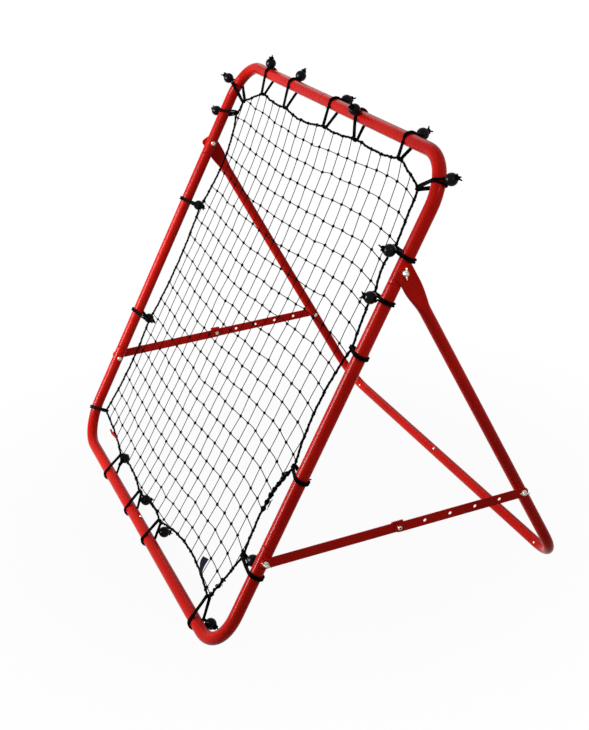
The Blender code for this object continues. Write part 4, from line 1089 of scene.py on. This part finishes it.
def alongBorder(first, low, high, count):
    # Points and outward ways of the border from one share of a stretch to another
    k = list(ties).index(first)
    at = borderStarts[k] + (borderStarts[k + 1] - borderStarts[k]) * np.linspace(low, high, count)
    every = np.arange(len(borderPath) + 1) / len(borderPath)
    points, out = (np.stack([np.interp(at, every, np.append(data[:, c], data[0, c]))
                             for c in (0, 1)], 1) for data in (borderPath, borderOut))
    return points, unit(out)


def woundCord(flat, out, reach, pitch, thickness, count, start=0.0, closed=False):
    # Strand that winds round a line in the frame's plane: it stands off to the side by the cosine
    # of the turn and in depth by its sine, and the turn grows with the length run
    run = np.cumsum([0, *np.linalg.norm(np.diff(flat, axis=0), axis=1)])
    turns, whole = run[-1] / pitch, len(flat)
    if closed:
        turns = round(turns * (whole / (whole - 1)))
    turn = run / run[-1] * turns * tau * (whole - closed) / whole + start
    path = inPlane(flat + out * reach * np.cos(turn)[:, None], reach * np.sin(turn))
    return carry(path, thickness, count, slopeBack + right * 0.1, closed=closed)


splices = {
    # Stretch: shares where it starts and ends, number of extra strands, shares of its knots,
    # and the places that its loose ends leave and point to
    "tie_right_5": (0.45, 0.92, 2, (0.47, 0.62, 0.88), (((0.4500, 0.300), (0.4405, 0.2885)),
                                                        ((0.4470, 0.296), (0.4500, 0.2830)))),
    "tie_bottom_1": (0.08, 0.45, 1, (0.12, 0.30, 0.45), (((0.4079, 0.1039), (0.4182, 0.0992)),
                                                         ((0.4070, 0.1045), (0.4120, 0.0950)))),
}
splice = {"beyond": 0.0010, "pitch": 0.030, "strand": 0.0015, "knot": 0.0046,
          "knotStrand": 0.0013, "stray": 0.0016, "curl": 0.12, "tail": 0.0005}


def makeBorder():
    # Plaited cord with a thin lashing that winds round it, thicker where it has been spliced
    radius, lashing = border["radius"], border["lashing"]
    fine = evenSteps(borderPath, len(borderPath) * 2, closed=True)
    skins = [carry(inPlane(borderPath), radius, 12, slopeBack, closed=True),
             woundCord(fine, sideOf(fine), radius + lashing * 0.3, border["lashingPitch"],
                       lashing, 6, closed=True)]
    for first, (low, high, extra, knots, tails) in splices.items():
        flat, out = alongBorder(first, low, high, 160)
        for k in range(extra):
            skins.append(woundCord(flat, out, radius + splice["beyond"], splice["pitch"],
                                   splice["strand"], 8, k * pi + 0.6))
        for share in knots:
            spot, way = (data[0] for data in alongBorder(first, share, share, 1))
            skins.append(knotSkin(inPlane(spot), inPlane(spot + way) - inPlane(spot),
                                  splice["knot"], splice["knotStrand"], 40))
        for start, end in tails:
            start, end = inPlane(np.array(start), -0.003), inPlane(np.array(end), -0.004)
            for _ in range(3):
                way = unit(end - start + rng.normal(0, splice["stray"], 3))
                skins.append(tailSkin(start, way, rng.normal(0, splice["curl"], 3),
                                      np.linalg.norm(end - start) * rng.uniform(0.8, 1.1),
                                      splice["tail"]))
    makePiece("borderCord", skins, "frame", "border_cord", ["border_cord"])


net = {
    "lines": 22, "twine": 0.00085, "knot": 0.0034, "steps": 6, "jitter": 0.0012, "slack": 0.0006,
    "depth": 0.0005, "beyond": 1.6, "clear": 0.0045, "endKnot": 1.15,
    # Polynomials for the place across and up the slope: factor and powers of u and v
    "across": ((0.0245, 0, 0), (0.4277, 1, 0), (0.0288, 0, 1), (0.0012, 0, 2), (-0.0232, 0, 3),
               (-0.0355, 0, 4), (0.0066, 1, 1)),
    "up": ((0.4931, 0, 0), (0.4353, 0, 1), (0.0172, 1, 0), (0.0306, 2, 0), (-0.0223, 3, 0),
           (-0.0241, 4, 0)),
}


def netPlace(u, v):
    # Where a knot of the plain lattice lies once the net is stretched: a polynomial in its two
    # places from -1 to 1, which draws the outer meshes wider
    return np.stack([sum(factor * u ** p * v ** q for factor, p, q in net[way])
                     for way in ("across", "up")], -1)


def insideBorder(points):
    # Even-odd rule: a point is inside if a ray to the right crosses the border an odd number of
    # times
    a, b = borderPath[::3], np.roll(borderPath[::3], -1, axis=0)
    x, z = points[:, :1], points[:, 1:]
    spans = (a[:, 1] > z) != (b[:, 1] > z)
    rise = np.where(b[:, 1] == a[:, 1], 1e-12, b[:, 1] - a[:, 1])
    cross = a[:, 0] + (z - a[:, 1]) / rise * (b[:, 0] - a[:, 0])
    return (spans & (x < cross)).sum(axis=1) % 2 == 1


def clippedRuns(line):
    # Stretches of a line that lie inside the border, each ended where it meets the border: there
    # the step between the last point inside and the first outside is halved again and again
    inside = np.append(insideBorder(line[:-1, :2]), False)
    turns = np.flatnonzero(np.diff(np.append(False, inside)))
    pieces = []
    for first, last in turns.reshape(-1, 2):
        part = line[first:last]
        for end, ahead in ((0, first - 1), (-1, last)):
            good, bad = part[end], line[max(ahead, 0)]
            for _ in range(12):
                middle = (good + bad) / 2
                good, bad = (middle, bad) if insideBorder(middle[None, :2])[0] else (good, middle)
            part = np.vstack([good, part] if end == 0 else [part, good])
        if len(part) > 8:
            pieces.append(part)
    return pieces


def lumpSkins(places, size, spins):
    # One lump: a ball of few faces, drawn out along a slant that differs from lump to lump
    lat, lon = np.linspace(0.3, pi - 0.3, 4)[:, None, None], np.arange(7)[:, None] * tau / 7
    x, y, z = np.sin(lat) * np.cos(lon), np.sin(lat) * np.sin(lon), np.cos(lat) + 0 * lon
    return [gridSkin(place + size * (x * (cos(spin) * right + sin(spin) * slope) * 0.85
                                     + y * (cos(spin) * slope - sin(spin) * right) * 1.15
                                     + z * slopeBack * 0.85), capped=True)
            for place, spin in zip(places, spins)]


def makeNet():
    # Two families of twines share their knots; each goes on past the last knot to the border
    lines, half = net["lines"], (net["lines"] - 1) / 2
    knots = np.arange(lines) - half
    stray = rng.normal(0, net["jitter"], (lines, lines, 2))
    depth = rng.normal(0, net["depth"], (lines, lines))
    fine = np.arange(-half - net["beyond"], half + net["beyond"] + 1e-6, 1 / net["steps"])
    mesh, share = np.divmod(fine + half, 1)
    skins, ends = [], []
    for family, beside in enumerate((right, slope)):
        for k, at in enumerate(knots):
            u, v = (at, fine) if family == 0 else (fine, at)
            own, deep = (data[k] if family == 0 else data[:, k] for data in (stray, depth))
            shift = np.stack([np.interp(fine, knots, own[:, c]) for c in (0, 1)], 1)
            loose = np.random.default_rng(1000 * family + k).normal(0, net["slack"], (lines + 8, 2))
            bow = (4 * share * (1 - share))[:, None] * loose[mesh.astype(int)]
            flat = netPlace(u / half + 0 * fine, v / half + 0 * fine) + shift + bow
            for part in clippedRuns(np.column_stack([flat, np.interp(fine, knots, deep)])):
                skins.append(carry(inPlane(part[:, :2], part[:, 2]), net["twine"], 6, beside))
                ends += [part[0, :2], part[-1, :2]]
    u, v = np.meshgrid(knots / half, knots / half, indexing="ij")
    places = (netPlace(u, v) + stray).reshape(-1, 2)
    gap = np.min(np.linalg.norm(places[:, None] - borderPath[None, ::2], axis=2), axis=1)
    keep = insideBorder(places) & (gap > net["clear"])
    spins = rng.uniform(0, pi, len(places))
    skins += lumpSkins(inPlane(places, depth.reshape(-1))[keep], net["knot"], spins[keep])
    skins += lumpSkins(inPlane(np.array(ends)), net["knot"] * net["endKnot"],
                       rng.uniform(0, pi, len(ends)))
    makePiece("netTwine", skins, "frame", "twine", ["net"])


makeBorder()
makeNet()
print("net is knotted and laced to its border")


tab = {"foot": (0.3255, 0.0743), "head": (0.3202, 0.1041), "footWidth": (0.0177, -0.0086),
       "headWidth": (0.0248, 0.0076), "depth": 0.0034, "bend": 0.003, "half": 0.0007}


def makeTab():
    # Folded tape: a flat band, wider at its head, bent a little and hanging from the border
    s = np.linspace(0, 1, 24)[:, None]
    foot, head, low, high = (np.array(tab[name])
                             for name in ("foot", "head", "footWidth", "headWidth"))
    middle = inPlane(foot + (head - foot) * s, -tab["depth"] - tab["bend"] * np.sin(s[:, 0] * pi))
    cross = low * (1 - s) + high * s
    wide = cross[:, :1] * right + cross[:, 1:] * slope
    half, wide = np.linalg.norm(wide, axis=1) / 2, unit(wide)
    over = unit(np.cross(wide, unit(np.gradient(middle, axis=0))))
    skin = ovalSkin(middle, half, tab["half"] + 0 * half, wide, over, 32, 7.0)
    makePiece("navyTab", [skin], "frame", "fabric", ["fabric_tab"])


looseTwine = {"through": ((-0.3462, 0.1094), (-0.3306, 0.0978), (-0.3377, 0.0824),
                          (-0.3538, 0.0777)), "radius": 0.0008}
thread = {"from": (-0.3540, 0.0690), "to": (-0.2990, 0.0708), "radius": 0.0016,
          "strands": ((-0.0016, 0.94), (0.0, 1.0), (0.0015, 0.86))}   # bow and share of the way


def looseEnds():
    # Loop of loose twine at the lower left corner and a short red thread tied beside it
    t = np.linspace(0, 1, 40)
    loop = np.array(looseTwine["through"])
    line = np.stack([np.interp(t * 3, np.arange(4), loop[:, k]) for k in (0, 1)], 1)
    for _ in range(30):
        line[1:-1] = (line[:-2] + line[1:-1] + line[2:]) / 3
    path = inPlane(line, -0.002 - 0.004 * np.sin(t * pi))
    makePiece("looseTwine", [carry(path, looseTwine["radius"], 6, slopeBack)], "frame", "twine")
    start, way, skins = np.array(thread["from"]), np.subtract(thread["to"], thread["from"]), []
    for k, (aside, reach) in enumerate(thread["strands"]):
        line = start + way * t[:, None] * reach
        line[:, 1] += aside * np.sin(t * pi) + 0.0010 * np.sin(t * 9 + k)
        path = inPlane(line, -0.0045 + 0.001 * np.sin(t * 14 + k))
        skins.append(carry(path, thread["radius"], 6, slopeBack))
    makePiece("redThread", skins, "frame", "twine", material=redThread)


makeTab()
looseEnds()
print("tab and loose ends are on")
